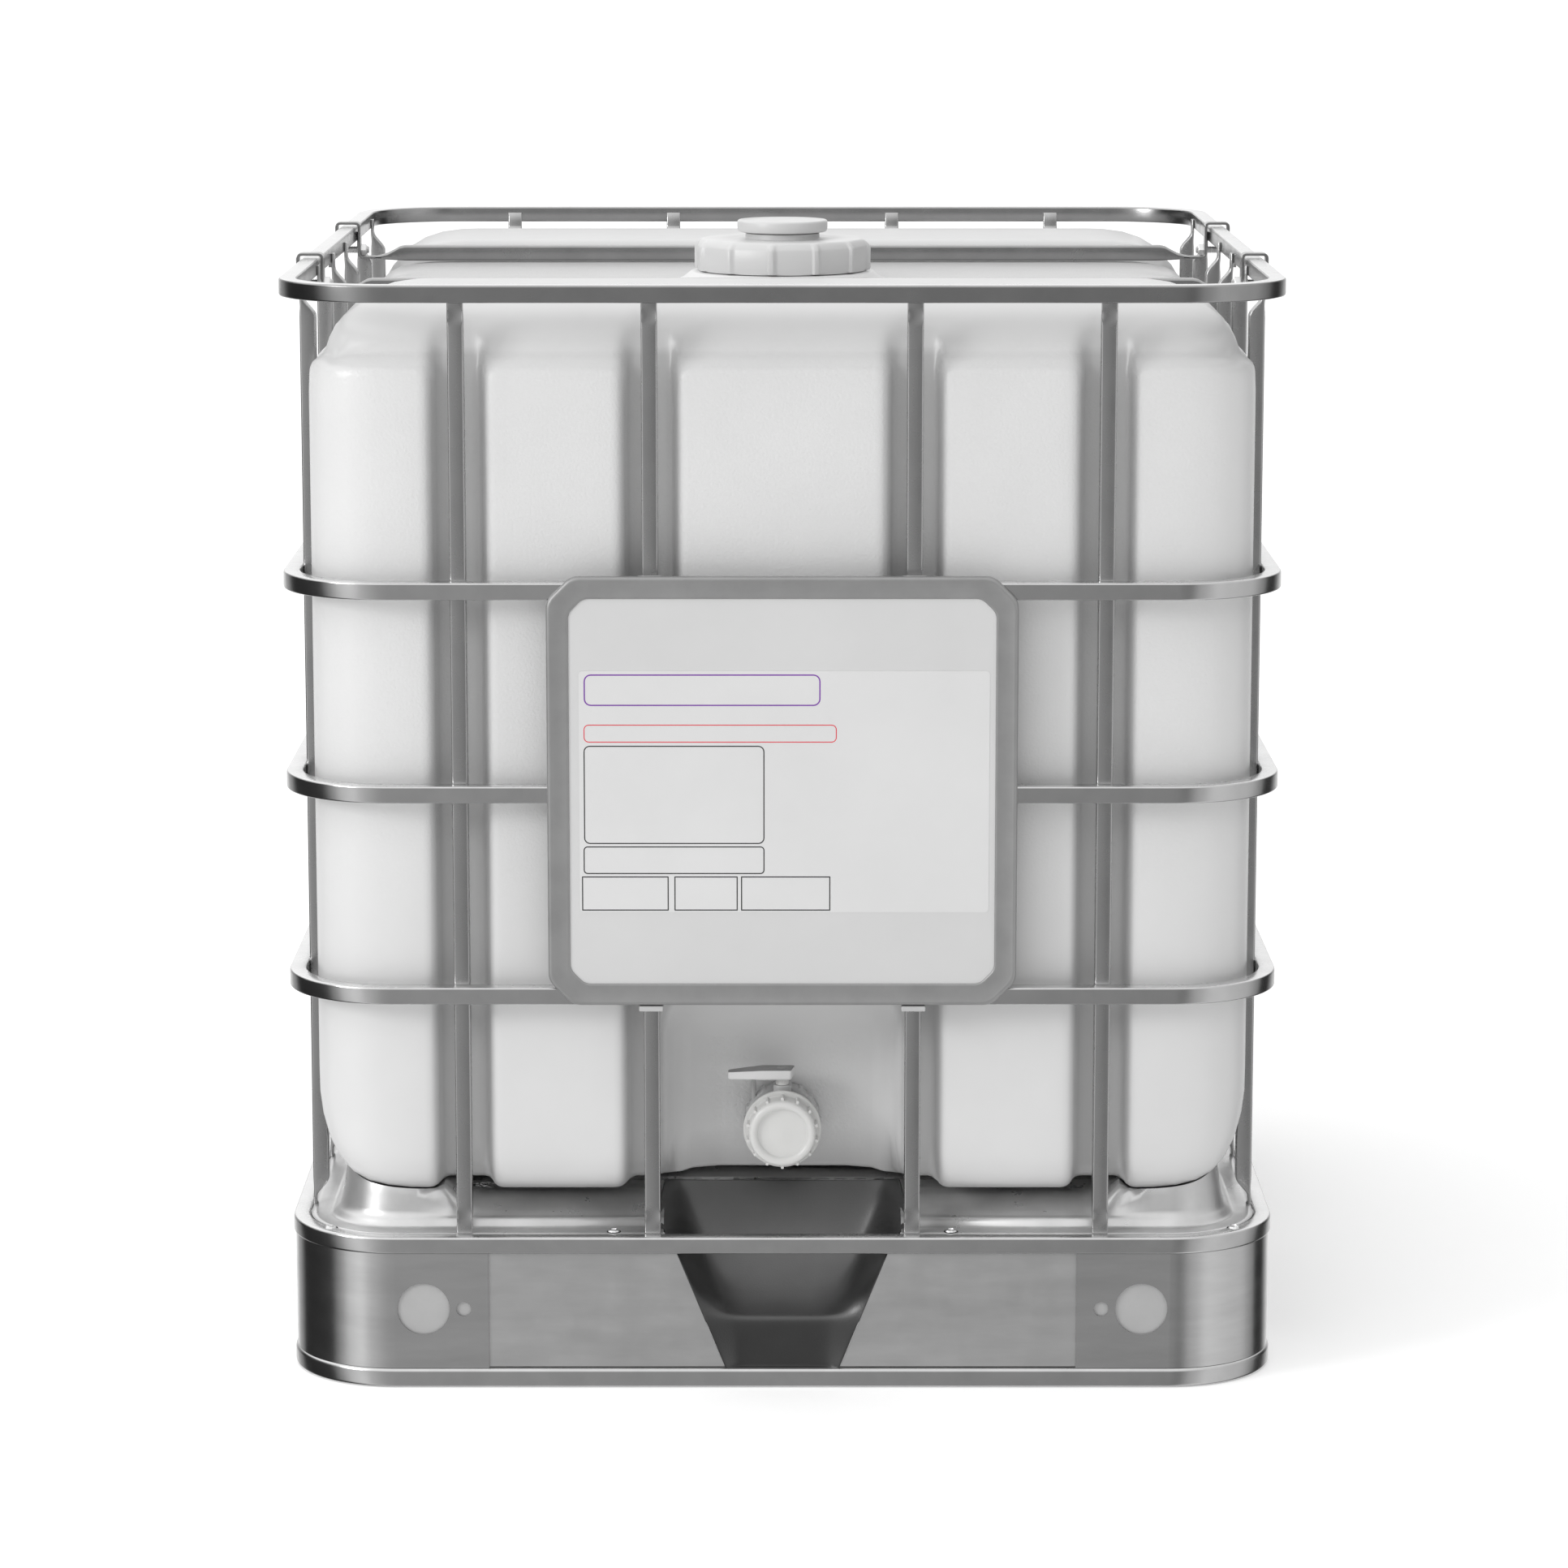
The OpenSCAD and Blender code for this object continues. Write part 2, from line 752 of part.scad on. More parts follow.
// The lever lies across the outlet when the valve is shut
module valve_lever() {
    hub = 13;
    tip_w = lever_w / 2;
    straight = lever_len / 3;
    color("lightgray")
        translate([0, -stem_y, lever_z])
            difference() {
                intersection() {
                    linear_extrude(lever_t)
                        polygon([
                            [hub, -lever_w / 2],
                            [hub, lever_w / 2],
                            [-straight, lever_w / 2],
                            [-lever_len, tip_w / 2],
                            [-lever_len, -tip_w / 2],
                            [-straight, -lever_w / 2]
                        ]);
                    rotate([90, 0, 0])
                        linear_extrude(lever_w + 2 * over, center = true)
                            polygon([
                                [hub, 0],
                                [hub, lever_t],
                                [-straight, lever_t],
                                [-lever_len, lever_t * 0.7],
                                [-lever_len, lever_t * 0.1],
                                [-straight, 0]
                            ]);
                }
                translate([0, 0, -over])
                    cylinder(r = stem_r, h = lever_t + 2 * over, $fn = round_fn);
            }
}

module lever_screw() {
    color("gainsboro")
        translate([0, -stem_y, lever_z + lever_t])
            cylinder(r = stem_r + 1.5, h = 2.5, $fn = round_fn);
}

module outlet_cap() {
    rib_len = 8;
    face_r = outlet_bore_r;
    color("whitesmoke")
        difference() {
            union() {
                outlet_rod(cap_rim_y, cap_rim_y + cap_rim_t, cap_flange_r);
                outlet_rod(cap_rim_y, cap_y, cap_r);
                translate([0, -cap_rim_y - rib_len, outlet_z])
                    rotate([-90, 0, 0])
                        rib_ring(14, cap_r - 2, cap_r + 3.5, 2.5, rib_len);
            }
            outlet_rod(cap_rim_y - over, thread_y + 2, thread_r + cap_fit);
            outlet_rod(cap_y - 2, cap_y + over, face_r);
        }
}

module outlet_cap_seal() {
    color("dimgray") outlet_tube(thread_y, thread_y + 2, thread_r - 0.2, outlet_bore_r);
}

// The plate's outline in X and Z, drawn in by inset
module plate_outline(inset) {
    half = plate_half - inset;
    z0 = plate_z0 + inset;
    z1 = plate_z1 - inset;
    cut = plate_cut - inset / 2;
    polygon([
        [-half, z0 + cut],
        [-half + cut, z0],
        [half - cut, z0],
        [half, z0 + cut],
        [half, z1 - cut],
        [half - cut, z1],
        [-half + cut, z1],
        [-half, z1 - cut]
    ]);
}

// A slab of the plate's outline, from depth y0 to y1 in front of the cage's middle
module plate_slab(inset, y0, y1) {
    translate([0, -y0, 0])
        rotate([90, 0, 0])
            linear_extrude(y1 - y0)
                plate_outline(inset);
}

// The plate is a shallow tray with a window in its face
module label_plate() {
    color("darkgray")
        difference() {
            plate_slab(0, cage_l / 2, plate_y);
            plate_slab(sheet_t, cage_l / 2 - over, plate_y - sheet_t);
            plate_slab(plate_border, cage_l / 2, plate_y + over);
        }
}

module label_panel() {
    color("lightgray") plate_slab(sheet_t + 0.5, panel_y - sheet_t, plate_y - sheet_t);
}

module label_sheet() {
    half = plate_half - plate_border - sheet_margin;
    z1 = plate_z1 - plate_border - sheet_drop;
    color("white")
        translate([-half, -plate_y + sheet_t - sheet_film, z1 - sheet_h])
            cube([2 * half, sheet_film, sheet_h]);
}

// Two clips hold the plate under the lower rail and two lie on the upper rail
module plate_clips() {
    clip_w = 28;
    clip_h = 5.5;
    rail_z0 = lower_rail_z - rail_tube;
    back_y = rail_in_y + 1;
    low_y = plate_y - 1;
    high_y = panel_y - sheet_t;
    color("gainsboro")
        for (sx = SIDES) {
            translate([sx * inner_post_x - clip_w / 2, -low_y, rail_z0 - clip_h])
                cube([clip_w, low_y - back_y, clip_h]);
            translate([sx * inner_post_x - clip_w / 2, -high_y, upper_rail_z])
                cube([clip_w, high_y - back_y, min(clip_h, plate_z1 - upper_rail_z - sheet_t)]);
        }
}

// The points of the cage's plan, drawn in by inset, at height z
function plan_points(inset, z) = let(
    r = max(corner_r - inset, 20),
    step = 90 / pan_corner_steps
) [
    for (corner = [0:3])
        for (i = [0:pan_corner_steps])
            let(
                a = 90 * corner + i * step,
                sx = corner == 0 || corner == 3 ? 1 : -1,
                sy = corner < 2 ? 1 : -1
            )
            [sx * (cage_w / 2 - inset - r) + r * cos(a), sy * (cage_l / 2 - inset - r) + r * sin(a), z]
];

// The pan's raised middle, from its flange up to its floor
module pan_middle(drop) {
    foot = rail_tube + pan_play + flange_w + drop;
    top = foot + pan_slope;
    n = 4 * (pan_corner_steps + 1);
    levels = [
        plan_points(foot, pan_flange_z - sheet_t - 0.1 - drop),
        plan_points(foot, pan_flange_z - drop),
        plan_points(top, pan_floor_z - drop)
    ];
    walls = [
        for (k = [0, 1])
            for (i = [0:n - 1])
                let(a = k * n + i, b = k * n + (i + 1) % n)
                for (face = [[a, a + n, b], [b, a + n, b + n]])
                    face
    ];
    floor_face = [for (i = [0:n - 1]) i];
    top_face = [for (i = [0:n - 1]) 3 * n - 1 - i];
    polyhedron(points = concat(levels[0], levels[1], levels[2]), faces = concat(walls, [floor_face, top_face]));
}

// A raised cup round each lower corner of the bottle
module pan_cup() {
    lean = [
        [cup_base_r, pan_flange_z - sheet_t],
        [cup_base_r, pan_flange_z],
        [cup_top_r, cup_top_z],
        [cup_top_r + sheet_t, cup_top_z],
        [cup_base_r + sheet_t, pan_flange_z],
        [cup_base_r + sheet_t, pan_flange_z - sheet_t]
    ];
    translate([bottle_x - bottle_base_r, bottle_y - bottle_base_r, 0])
        rotate([0, 0, cup_skip])
            rotate_extrude(angle = 90 - 2 * cup_skip, $fn = round_fn)
                polygon(lean);
}

module base_pan() {
    color("darkgray")
        difference() {
            union() {
                translate([0, 0, pan_flange_z - sheet_t])
                    plan_ring(rail_tube + pan_play, flange_w + 2, sheet_t);
                difference() {
                    pan_middle(0);
                    pan_middle(sheet_t);
                }
                for (turn = [0, 180])
                    rotate([0, 0, turn]) {
                        pan_cup();
                        mirror([1, 0, 0])
                            pan_cup();
                    }
            }
            translate([-pan_notch, -cage_l / 2, 0])
                cube([2 * pan_notch, cage_l / 2 - pan_notch_y, cage_h]);
            pan_slots();
            at_pan_screws()
                translate([0, 0, -2 * sheet_t])
                    cylinder(r = screw_r / 2, h = 4 * sheet_t, $fn = round_fn);
        }
}

// Slots in the pan's flange, round the foot of every upright
module pan_slots() {
    slot_w = post_tube + 2;
    slot_d = flat_t + 1;
    for (x = end_posts)
        for (sy = SIDES)
            translate([x - slot_w / 2, sy * rail_in_y - slot_d, 0])
                cube([slot_w, 2 * slot_d, cage_h]);
    for (y = side_posts)
        for (sx = SIDES)
            translate([sx * rail_in_x - slot_d, y - slot_w / 2, 0])
                cube([2 * slot_d, slot_w, cage_h]);
}

// Places its children on the pan's flange, at every screw
module at_pan_screws() {
    inset = rail_tube + pan_play + screw_r + 1;
    for (sy = SIDES)
        for (x = screw_xs)
            for (sx = SIDES)
                translate([sx * x, sy * (cage_l / 2 - inset - screw_set_back(x)), pan_flange_z])
                    children();
}

// The outer screws stand back from the rail's bend
function screw_set_back(x) = let(
    bend = cage_w / 2 - corner_r,
    r = corner_r - rail_tube - pan_play - screw_r - 1
) x > bend ? r - sqrt(max(0, r * r - pow(x - bend, 2))) : 0;

module pan_screws() {
    color("gainsboro")
        at_pan_screws() {
            cylinder(r1 = screw_r, r2 = screw_r / 2, h = screw_r / 2, $fn = round_fn);
            translate([0, 0, -3 * sheet_t])
                cylinder(r = screw_r / 2, h = 3 * sheet_t + over, $fn = round_fn);
        }
}

// The chute: a scoop that carries drips from below the valve to the front
// Half width of the chute's mouth at height z
function mouth_half(z) =
    chute_base_half + (chute_top_half - chute_base_half) * (z - chute_z0) / (chute_z1 - chute_z0);

// A small block along X, used as the edge of a sloping panel
module edge_block(half, y, z) {
    translate([-half, -y, z])
        cube([2 * half, 1, chute_wall]);
}

// A bar along a side of the chute
module side_bar(x, y, z, h) {
    translate([x, -y, z])
        cube([chute_wall, 1, h]);
}

module chute() {
    lip_half = mouth_half(chute_lip_z);
    low_half = mouth_half(chute_lip_z - chute_wall);
    high_half = mouth_half(chute_z1 - 1);
    inner_y = rail_in_y - 1;
    color([0.1, 0.1, 0.1]) {
        // Front block
        translate([0, -chute_y + chute_wall, 0])
            rotate([90, 0, 0])
                linear_extrude(chute_wall)
                    polygon([
                        [-chute_base_half, chute_z0],
                        [chute_base_half, chute_z0],
                        [lip_half, chute_lip_z],
                        [-lip_half, chute_lip_z]
                    ]);
        // Floor
        hull() {
            edge_block(lip_half - 1, chute_y, chute_lip_z - chute_wall);
            edge_block(chute_floor_half + 20, chute_back_y, chute_back_z - 20);
        }
        // Side walls, first under the rail and then behind it
        for (sx = SIDES)
            scale([sx, 1, 1]) {
                hull() {
                    side_bar(low_half - chute_wall, chute_y, chute_lip_z - chute_wall, chute_wall);
                    side_bar(high_half - chute_wall, chute_y, chute_z1 - 1, 1);
                    side_bar(chute_top_half - chute_wall, inner_y, chute_z1 - 1, 1);
                    side_bar(chute_floor_half - 8, inner_y, chute_lip_z + 10, 1);
                }
                hull() {
                    side_bar(chute_top_half - chute_wall, inner_y, chute_z1 - 1, 1);
                    side_bar(chute_floor_half - 8, inner_y, chute_lip_z + 10, 1);
                    side_bar(chute_back_half - chute_wall, chute_back_y, chute_back_z - 16, 1);
                    side_bar(chute_floor_half + 16, chute_back_y, chute_back_z - 20, 1);
                }
            }
    }
}

module pallet_runner() {
    color("silver")
        difference() {
            plan_ring(0, rail_tube, runner_h);
            translate([0, 0, tube_wall])
                plan_ring(tube_wall, rail_tube - 2 * tube_wall, runner_h - 2 * tube_wall);
        }
}

// A corner skirt: the pallet's sheet wrapped round the corner at +X, +Y
module skirt(sx, sy) {
    h = foot_rail_z - runner_h;
    front = sy < 0;
    color("silver")
        difference() {
            translate([0, 0, runner_h])
                plan_ring(skirt_inset, sheet_t, h);
            translate([sx > 0 ? -cage_w : -skirt_end_x, -cage_l, 0])
                cube([cage_w + skirt_end_x, 2 * cage_l, cage_h]);
            translate([-cage_w, sy > 0 ? -cage_l : -skirt_end_y, 0])
                cube([2 * cage_w, cage_l + skirt_end_y, cage_h]);
            for (hole = [[big_hole_inset, big_hole_r], [big_hole_inset + hole_pitch, small_hole_r]])
                translate([sx * (cage_w / 2 - hole[0]), front ? -cage_l : 0, hole_z])
                    rotate([-90, 0, 0])
                        cylinder(r = hole[1], h = cage_l, $fn = round_fn);
        }
}

module front_left_skirt() {
    skirt(-1, -1);
}

module front_right_skirt() {
    skirt(1, -1);
}

module rear_left_skirt() {
    skirt(-1, 1);
}

module rear_right_skirt() {
    skirt(1, 1);
}

// Two panels close the front between the corner posts and the chute
module front_panels() {
    gap = 1;
    lap = 6;
    color("silver")
        for (sx = SIDES)
            scale([sx, 1, 1])
                translate([0, -cage_l / 2 + panel_inset + sheet_t, 0])
                    rotate([90, 0, 0])
                        linear_extrude(sheet_t)
                            polygon([
                                [mouth_half(chute_z0 + 1) + gap, chute_z0 + 1],
                                [skirt_end_x + lap, chute_z0 + 1],
                                [skirt_end_x + lap, foot_rail_z],
                                [mouth_half(foot_rail_z) + gap, foot_rail_z]
                            ]);
}

// Hollow posts stand behind the corner skirts
module corner_posts() {
    inset = rail_tube / 2;
    wall = 2 * sheet_t;
    h = foot_rail_z - runner_h;
    color("gainsboro")
        for (sx = SIDES)
            for (sy = SIDES)
                scale([sx, sy, 1])
                    translate([0, 0, runner_h])
                        difference() {
                            intersection() {
                                plan_block(inset, h);
                                translate([cage_w / 2 - corner_post_w, cage_l / 2 - corner_post_w, 0])
                                    cube([corner_post_w, corner_post_w, h]);
                            }
                            intersection() {
                                translate([0, 0, -over])
                                    plan_block(inset + wall, h + 2 * over);
                                translate([
                                    cage_w / 2 - corner_post_w + wall,
                                    cage_l / 2 - corner_post_w + wall,
                                    -over
                                ])
                                    cube([corner_post_w, corner_post_w, h + 2 * over]);
                            }
                        }
}

// A hollow foot, w by l, standing on z
module foot(w, l, z) {
    wall = 2 * sheet_t;
    translate([0, 0, z + (foot_rail_z - z) / 2])
        difference() {
            cube([w, l, foot_rail_z - z], center = true);
            cube([w - 2 * wall, l - 2 * wall, cage_h], center = true);
        }
}

// Feet in the middle of the sides and the rear, and one under the middle beam
module middle_feet() {
    color("silver") {
        for (sx = SIDES)
            translate([sx * (cage_w / 2 - rail_tube / 2), 0, 0])
                foot(rail_tube, foot_w, runner_h);
        translate([0, cage_l / 2 - rail_tube / 2, 0])
            foot(foot_w, rail_tube, runner_h);
        foot(foot_w, foot_w, 0);
    }
}

// Tubes under the pan's floor, let into the foot rail's sides
module deck_beams() {
    h = pan_floor_z - sheet_t - foot_rail_z;
    body_x = rail_in_x - pan_play - flange_w - pan_slope - 6;
    tongue_h = pan_flange_z - sheet_t - foot_rail_z - 1;
    color("silver")
        for (y = [-beam_y, 0, beam_y])
            translate([0, y, foot_rail_z]) {
                difference() {
                    translate([-body_x, -beam_w / 2, 0])
                        cube([2 * body_x, beam_w, h]);
                    translate([-body_x + 2 * sheet_t, -beam_w / 2 + sheet_t, sheet_t])
                        cube([2 * (body_x - 2 * sheet_t), beam_w - 2 * sheet_t, h - 2 * sheet_t]);
                }
                for (sx = SIDES)
                    translate([sx > 0 ? body_x - over : -rail_in_x, -beam_w / 2, 0])
                        cube([rail_in_x - body_x + over, beam_w, tongue_h]);
            }
}

bottle();
lid();
lid_seal();
vent_plug();
vent_seal();
valve_body();
valve_union_nut();
valve_flange_seal();
valve_disc();
valve_seat();
valve_stem();
valve_lever();
lever_screw();
outlet_cap();
outlet_cap_seal();
top_rail();
upper_rail();
middle_rail();
lower_rail();
foot_rail();
for (i = [0:3]) front_upright(i);
for (i = [0:3]) rear_upright(i);
for (i = [0:5]) left_upright(i);
for (i = [0:5]) right_upright(i);
front_tie_bar();
rear_tie_bar();
tie_bolts();
tie_nuts();
label_plate();
label_panel();
label_sheet();
plate_clips();
base_pan();
pan_screws();
chute();
pallet_runner();
front_left_skirt();
front_right_skirt();
rear_left_skirt();
rear_right_skirt();
front_panels();
corner_posts();
middle_feet();
deck_beams();
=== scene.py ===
from math import ceil, cos, hypot, pi, radians, sin

import bpy
import numpy as np
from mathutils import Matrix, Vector


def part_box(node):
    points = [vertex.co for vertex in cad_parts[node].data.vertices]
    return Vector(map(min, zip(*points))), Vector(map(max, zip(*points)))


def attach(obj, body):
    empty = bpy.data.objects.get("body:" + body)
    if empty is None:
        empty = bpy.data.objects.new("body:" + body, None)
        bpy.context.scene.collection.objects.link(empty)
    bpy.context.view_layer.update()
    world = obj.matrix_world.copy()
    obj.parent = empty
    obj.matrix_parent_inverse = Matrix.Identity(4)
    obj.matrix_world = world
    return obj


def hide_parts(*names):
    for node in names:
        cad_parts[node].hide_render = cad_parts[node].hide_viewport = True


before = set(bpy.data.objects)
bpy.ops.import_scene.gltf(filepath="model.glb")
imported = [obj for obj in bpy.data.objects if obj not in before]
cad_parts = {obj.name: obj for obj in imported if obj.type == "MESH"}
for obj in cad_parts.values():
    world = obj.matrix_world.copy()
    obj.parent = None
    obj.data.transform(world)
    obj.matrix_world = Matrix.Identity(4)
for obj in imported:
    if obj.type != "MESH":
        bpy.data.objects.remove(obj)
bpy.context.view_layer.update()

# Sizes are in millimetres in the frame's axes: X is the width, -Y the valve side, Z up.
# MM turns them into Blender's metres. Bump distances and the studio are in metres.
MM = 0.001
SIDES = (-1, 1)
scene = bpy.context.scene


def cad(node):
    """Lowest and highest corner of a CAD node, in millimetres."""
    lo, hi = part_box(node)
    return [v / MM for v in lo], [v / MM for v in hi]


# ---------------------------------------------------------------- sizes
rail_lo, rail_hi = cad("upper_rail")
CAGE_X, CAGE_Y = rail_hi[0], rail_hi[1]
TUBE = rail_hi[2] - rail_lo[2]
CORNER = 110   # outer radius of the cage's corners
RAIL_IN_X, RAIL_IN_Y = CAGE_X - TUBE, CAGE_Y - TUBE
post_lo, post_hi = cad("front_upright_2")
POST = post_hi[0] - post_lo[0]
POST_Z0, POST_Z1 = post_lo[2], post_hi[2]
(_, _, BOTTLE_Z0), (BOTTLE_X, BOTTLE_Y, NECK_Z) = cad("bottle")
TOP_Z = cad("top_rail")[1][2]
FOOT_Z = cad("foot_rail")[0][2]
RUNNER_Z = cad("pallet_runner")[1][2]
CREST_Z = TOP_Z - 12          # top of the bottle
TROUGH_Z = CREST_Z - 27.5     # its sunken band under the tie bars


def middle(node, axis):
    """Middle of a CAD node along one axis."""
    lo, hi = cad(node)
    return (lo[axis] + hi[axis]) / 2


END_POSTS = [middle(f"front_upright_{i}", 0) for i in range(1, 5)]
SIDE_POSTS = [middle(f"left_upright_{i}", 1) for i in range(1, 7)]
TIE_Y = middle("rear_tie_bar", 1)
OUTLET_Z = middle("valve_flange_seal", 2)
# Half widths of the chute's mouth at the runner and at the foot rail
MOUTH_LOW, MOUTH_TOP = 57, 105


# ---------------------------------------------------------------- materials
def grey(v):
    return (v, v, v, 1)


def colour(v):
    """A colour from a number, which is a grey, or from a colour itself."""
    return grey(v) if isinstance(v, float) else v


class Nodes:
    """A short way to write a material's node tree."""

    def __init__(self, name):
        self.material = bpy.data.materials.new(name)
        self.material.use_nodes = True
        self.tree = self.material.node_tree
        self.shader = self.tree.nodes["Principled BSDF"]
        self.coords = self.tree.nodes.new("ShaderNodeTexCoord").outputs["Object"]

    def add(self, kind, **values):
        node = self.tree.nodes.new(kind)
        for key, value in values.items():
            setattr(node, key, value)
        return node

    def link(self, a, b):
        self.tree.links.new(a, b)

    def stretched(self, scale):
        node = self.add("ShaderNodeMapping")
        node.inputs["Scale"].default_value = scale
        self.link(self.coords, node.inputs["Vector"])
        return node.outputs["Vector"]

    def noise(self, scale, detail=3, rough=0.55, vector=None):
        node = self.add("ShaderNodeTexNoise")
        node.inputs["Scale"].default_value = scale
        node.inputs["Detail"].default_value = detail
        node.inputs["Roughness"].default_value = rough
        self.link(vector or self.coords, node.inputs["Vector"])
        return node.outputs["Fac"]

    def ranged(self, value, low, high, start=0.3, end=0.7):
        node = self.add("ShaderNodeMapRange")
        for key, v in zip(("From Min", "From Max", "To Min", "To Max"), (start, end, low, high)):
            node.inputs[key].default_value = v
        self.link(value, node.inputs["Value"])
        return node.outputs["Result"]

    def times(self, a, b):
        node = self.add("ShaderNodeMath", operation="MULTIPLY")
        self.link(a, node.inputs[0])
        self.link(b, node.inputs[1])
        return node.outputs[0]

    def tint(self, value, dark, light):
        """A base colour from dark to light; returns the ramp's colour."""
        ramp = self.add("ShaderNodeValToRGB")
        for element, spot, shade in zip(ramp.color_ramp.elements, (0.3, 0.7), (dark, light)):
            element.position = spot
            element.color = colour(shade)
        self.link(value, ramp.inputs["Fac"])
        self.link(ramp.outputs["Color"], self.shader.inputs["Base Color"])
        return ramp.outputs["Color"]

    def bump(self, height, distance):
        node = self.add("ShaderNodeBump")
        node.inputs["Distance"].default_value = distance
        node.inputs["Strength"].default_value = 1
        self.link(height, node.inputs["Height"])
        self.link(node.outputs["Normal"], self.shader.inputs["Normal"])

    def attribute(self, name):
        return self.add("ShaderNodeAttribute", attribute_name=name)


def moulded(name, dark, light, rough, grain, grain_scale, coat=0.0, mask=False):
    """Moulded plastic: a faint cloudiness, uneven gloss and a fine leathery grain.

    With mask, the mesh's own grain attribute scales the grain, and its colour attribute multiplies the colour
    by painted shade and painted sheen.
    """
    n = Nodes(name)
    base = n.tint(n.noise(7, 4), dark, light)
    n.link(n.ranged(n.noise(38, 3), *rough), n.shader.inputs["Roughness"])
    height = n.noise(grain_scale, 2, 0.5)
    if mask:
        height = n.times(height, n.attribute("grain").outputs["Fac"])
        shade = n.add("ShaderNodeMix", data_type="RGBA", blend_type="MULTIPLY")
        shade.inputs["Factor"].default_value = 1
        n.link(base, shade.inputs["A"])
        n.link(n.attribute("painted_light").outputs["Color"], shade.inputs["B"])
        n.link(shade.outputs["Result"], n.shader.inputs["Base Color"])
    n.bump(height, grain)
    n.shader.inputs["Coat Weight"].default_value = coat
    n.shader.inputs["Coat Roughness"].default_value = 0.3
    return n.material


def steel(name, dark, light, rough, metallic=1.0, streak=(9, 9, 9), wear=0.00002, fine=200):
    """Coated steel: cloudy colour, brushed streaks and small dents in the gloss."""
    n = Nodes(name)
    n.tint(n.noise(3.2, 5, vector=n.stretched(streak)), dark, light)
    n.link(n.ranged(n.noise(31, 4), *rough), n.shader.inputs["Roughness"])
    n.bump(n.noise(fine, 3), wear)
    n.shader.inputs["Metallic"].default_value = metallic
    return n.material


bottle_plastic = moulded("bottle_plastic", 0.62, 0.65, (0.3, 0.34), 0.00045, 330, mask=True)
neck_plastic = moulded("neck_plastic", 0.73, 0.77, (0.3, 0.4), 0.00012, 300)
cap_plastic = moulded("cap_plastic", 0.64, 0.68, (0.28, 0.38), 0.00007, 520)
valve_plastic = moulded("valve_plastic", (0.56, 0.56, 0.55, 1), (0.61, 0.61, 0.6, 1), (0.26, 0.36),
                        0.00007, 600)
# A darker copy of the valve plastic for the barrel and the union nut: painted shade, as they sit in shadow in
# the pocket
shaded_valve_plastic = moulded("shaded_valve_plastic", 0.4, 0.45, (0.28, 0.38), 0.00007, 600)
lever_plastic = moulded("lever_plastic", 0.58, 0.62, (0.35, 0.48), 0.00008, 700)
lever_top = moulded("lever_top_plastic", 0.2, 0.23, (0.4, 0.5), 0.00008, 700)
seal_rubber = moulded("seal_rubber", 0.02, 0.035, (0.6, 0.8), 0.0001, 500)
chute_plastic = moulded("chute_plastic", 0.004, 0.007, (0.36, 0.44), 0.00016, 620,
                        coat=0.5, mask=True)
chute_plastic.node_tree.nodes["Principled BSDF"].inputs["Specular IOR Level"].default_value = 0.9
clip_plastic = moulded("clip_plastic", 0.42, 0.47, (0.4, 0.5), 0.00006, 600)
panel_paint = moulded("panel_paint", 0.54, 0.57, (0.42, 0.55), 0.00004, 160)
label_film = moulded("label_film", 0.6, 0.63, (0.34, 0.44), 0.00003, 220)
tube_steel = steel("galvanised_tube", 0.54, 0.6, (0.17, 0.24), wear=0.000006)
# A lighter copy of the tube steel for the rails' upward faces: a painted highlight of the light from above
painted_highlight_steel = steel("tube_painted_highlight", 0.74, 0.8, (0.24, 0.3), wear=0.000006)
# A darker copy of the tube steel for the top rail and the tie bars: painted shade standing in for the dark
# reflections on their faces
shaded_top_steel = steel("top_tube_painted_shade", 0.34, 0.38, (0.2, 0.28), wear=0.000006)
post_steel = steel("upright_tube", 0.44, 0.48, (0.24, 0.3), streak=(22, 22, 3), wear=0.000001)
plate_steel = steel("plate_steel", 0.3, 0.34, (0.4, 0.5), metallic=0.55)
pan_steel = steel("pan_steel", 0.58, 0.66, (0.26, 0.36), metallic=0.7, wear=0.000005)
skirt_steel = steel("skirt_steel", 0.56, 0.64, (0.17, 0.23), streak=(3, 3, 16))
front_steel = steel("front_panel_steel", 0.55, 0.63, (0.36, 0.46), metallic=0.9, streak=(3, 3, 16))
inner_steel = steel("inner_steel", 0.3, 0.36, (0.4, 0.55), metallic=0.4)
hole_steel = steel("hole_plate_steel", 0.42, 0.46, (0.4, 0.5), metallic=0.2)
zinc = steel("zinc_bolt", 0.7, 0.8, (0.22, 0.34), fine=700)


# ---------------------------------------------------------------- mesh making
def piece(name, verts, faces, material, body, slot, replaces=(), bevel=0.0, steps=2, angle=32):
    """A mesh from points in millimetres, riding on a CAD body."""
    mesh = bpy.data.meshes.new(name)
    mesh.from_pydata([(x * MM, y * MM, z * MM) for x, y, z in verts], [], faces)
    mesh.materials.append(material)
    mesh.shade_smooth()
    if bevel == 0:
        mesh.set_sharp_from_angle(angle=radians(angle))
    obj = bpy.data.objects.new(name, mesh)
    scene.collection.objects.link(obj)
    if bevel:
        mod = obj.modifiers.new("bevel", "BEVEL")
        mod.width = bevel * MM
        mod.segments = steps
        mod.limit_method = "ANGLE"
        mod.angle_limit = radians(angle)
        mod.harden_normals = True
    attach(obj, body)
    if replaces:
        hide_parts(*replaces)
    return obj


def recolour_tops(obj, material, least_up=0.9):
    """Gives the faces that look up a second material; on the rails this is a painted highlight."""
    obj.data.materials.append(material)
    for face in obj.data.polygons:
        if face.normal.z > least_up:
            face.material_index = 1


def join(parts):
    """Several (points, faces) pairs as one."""
    verts, faces = [], []
    for v, f in parts:
        shift = len(verts)
        verts.extend(v)
        faces.extend([i + shift for i in face] for face in f)
    return verts, faces


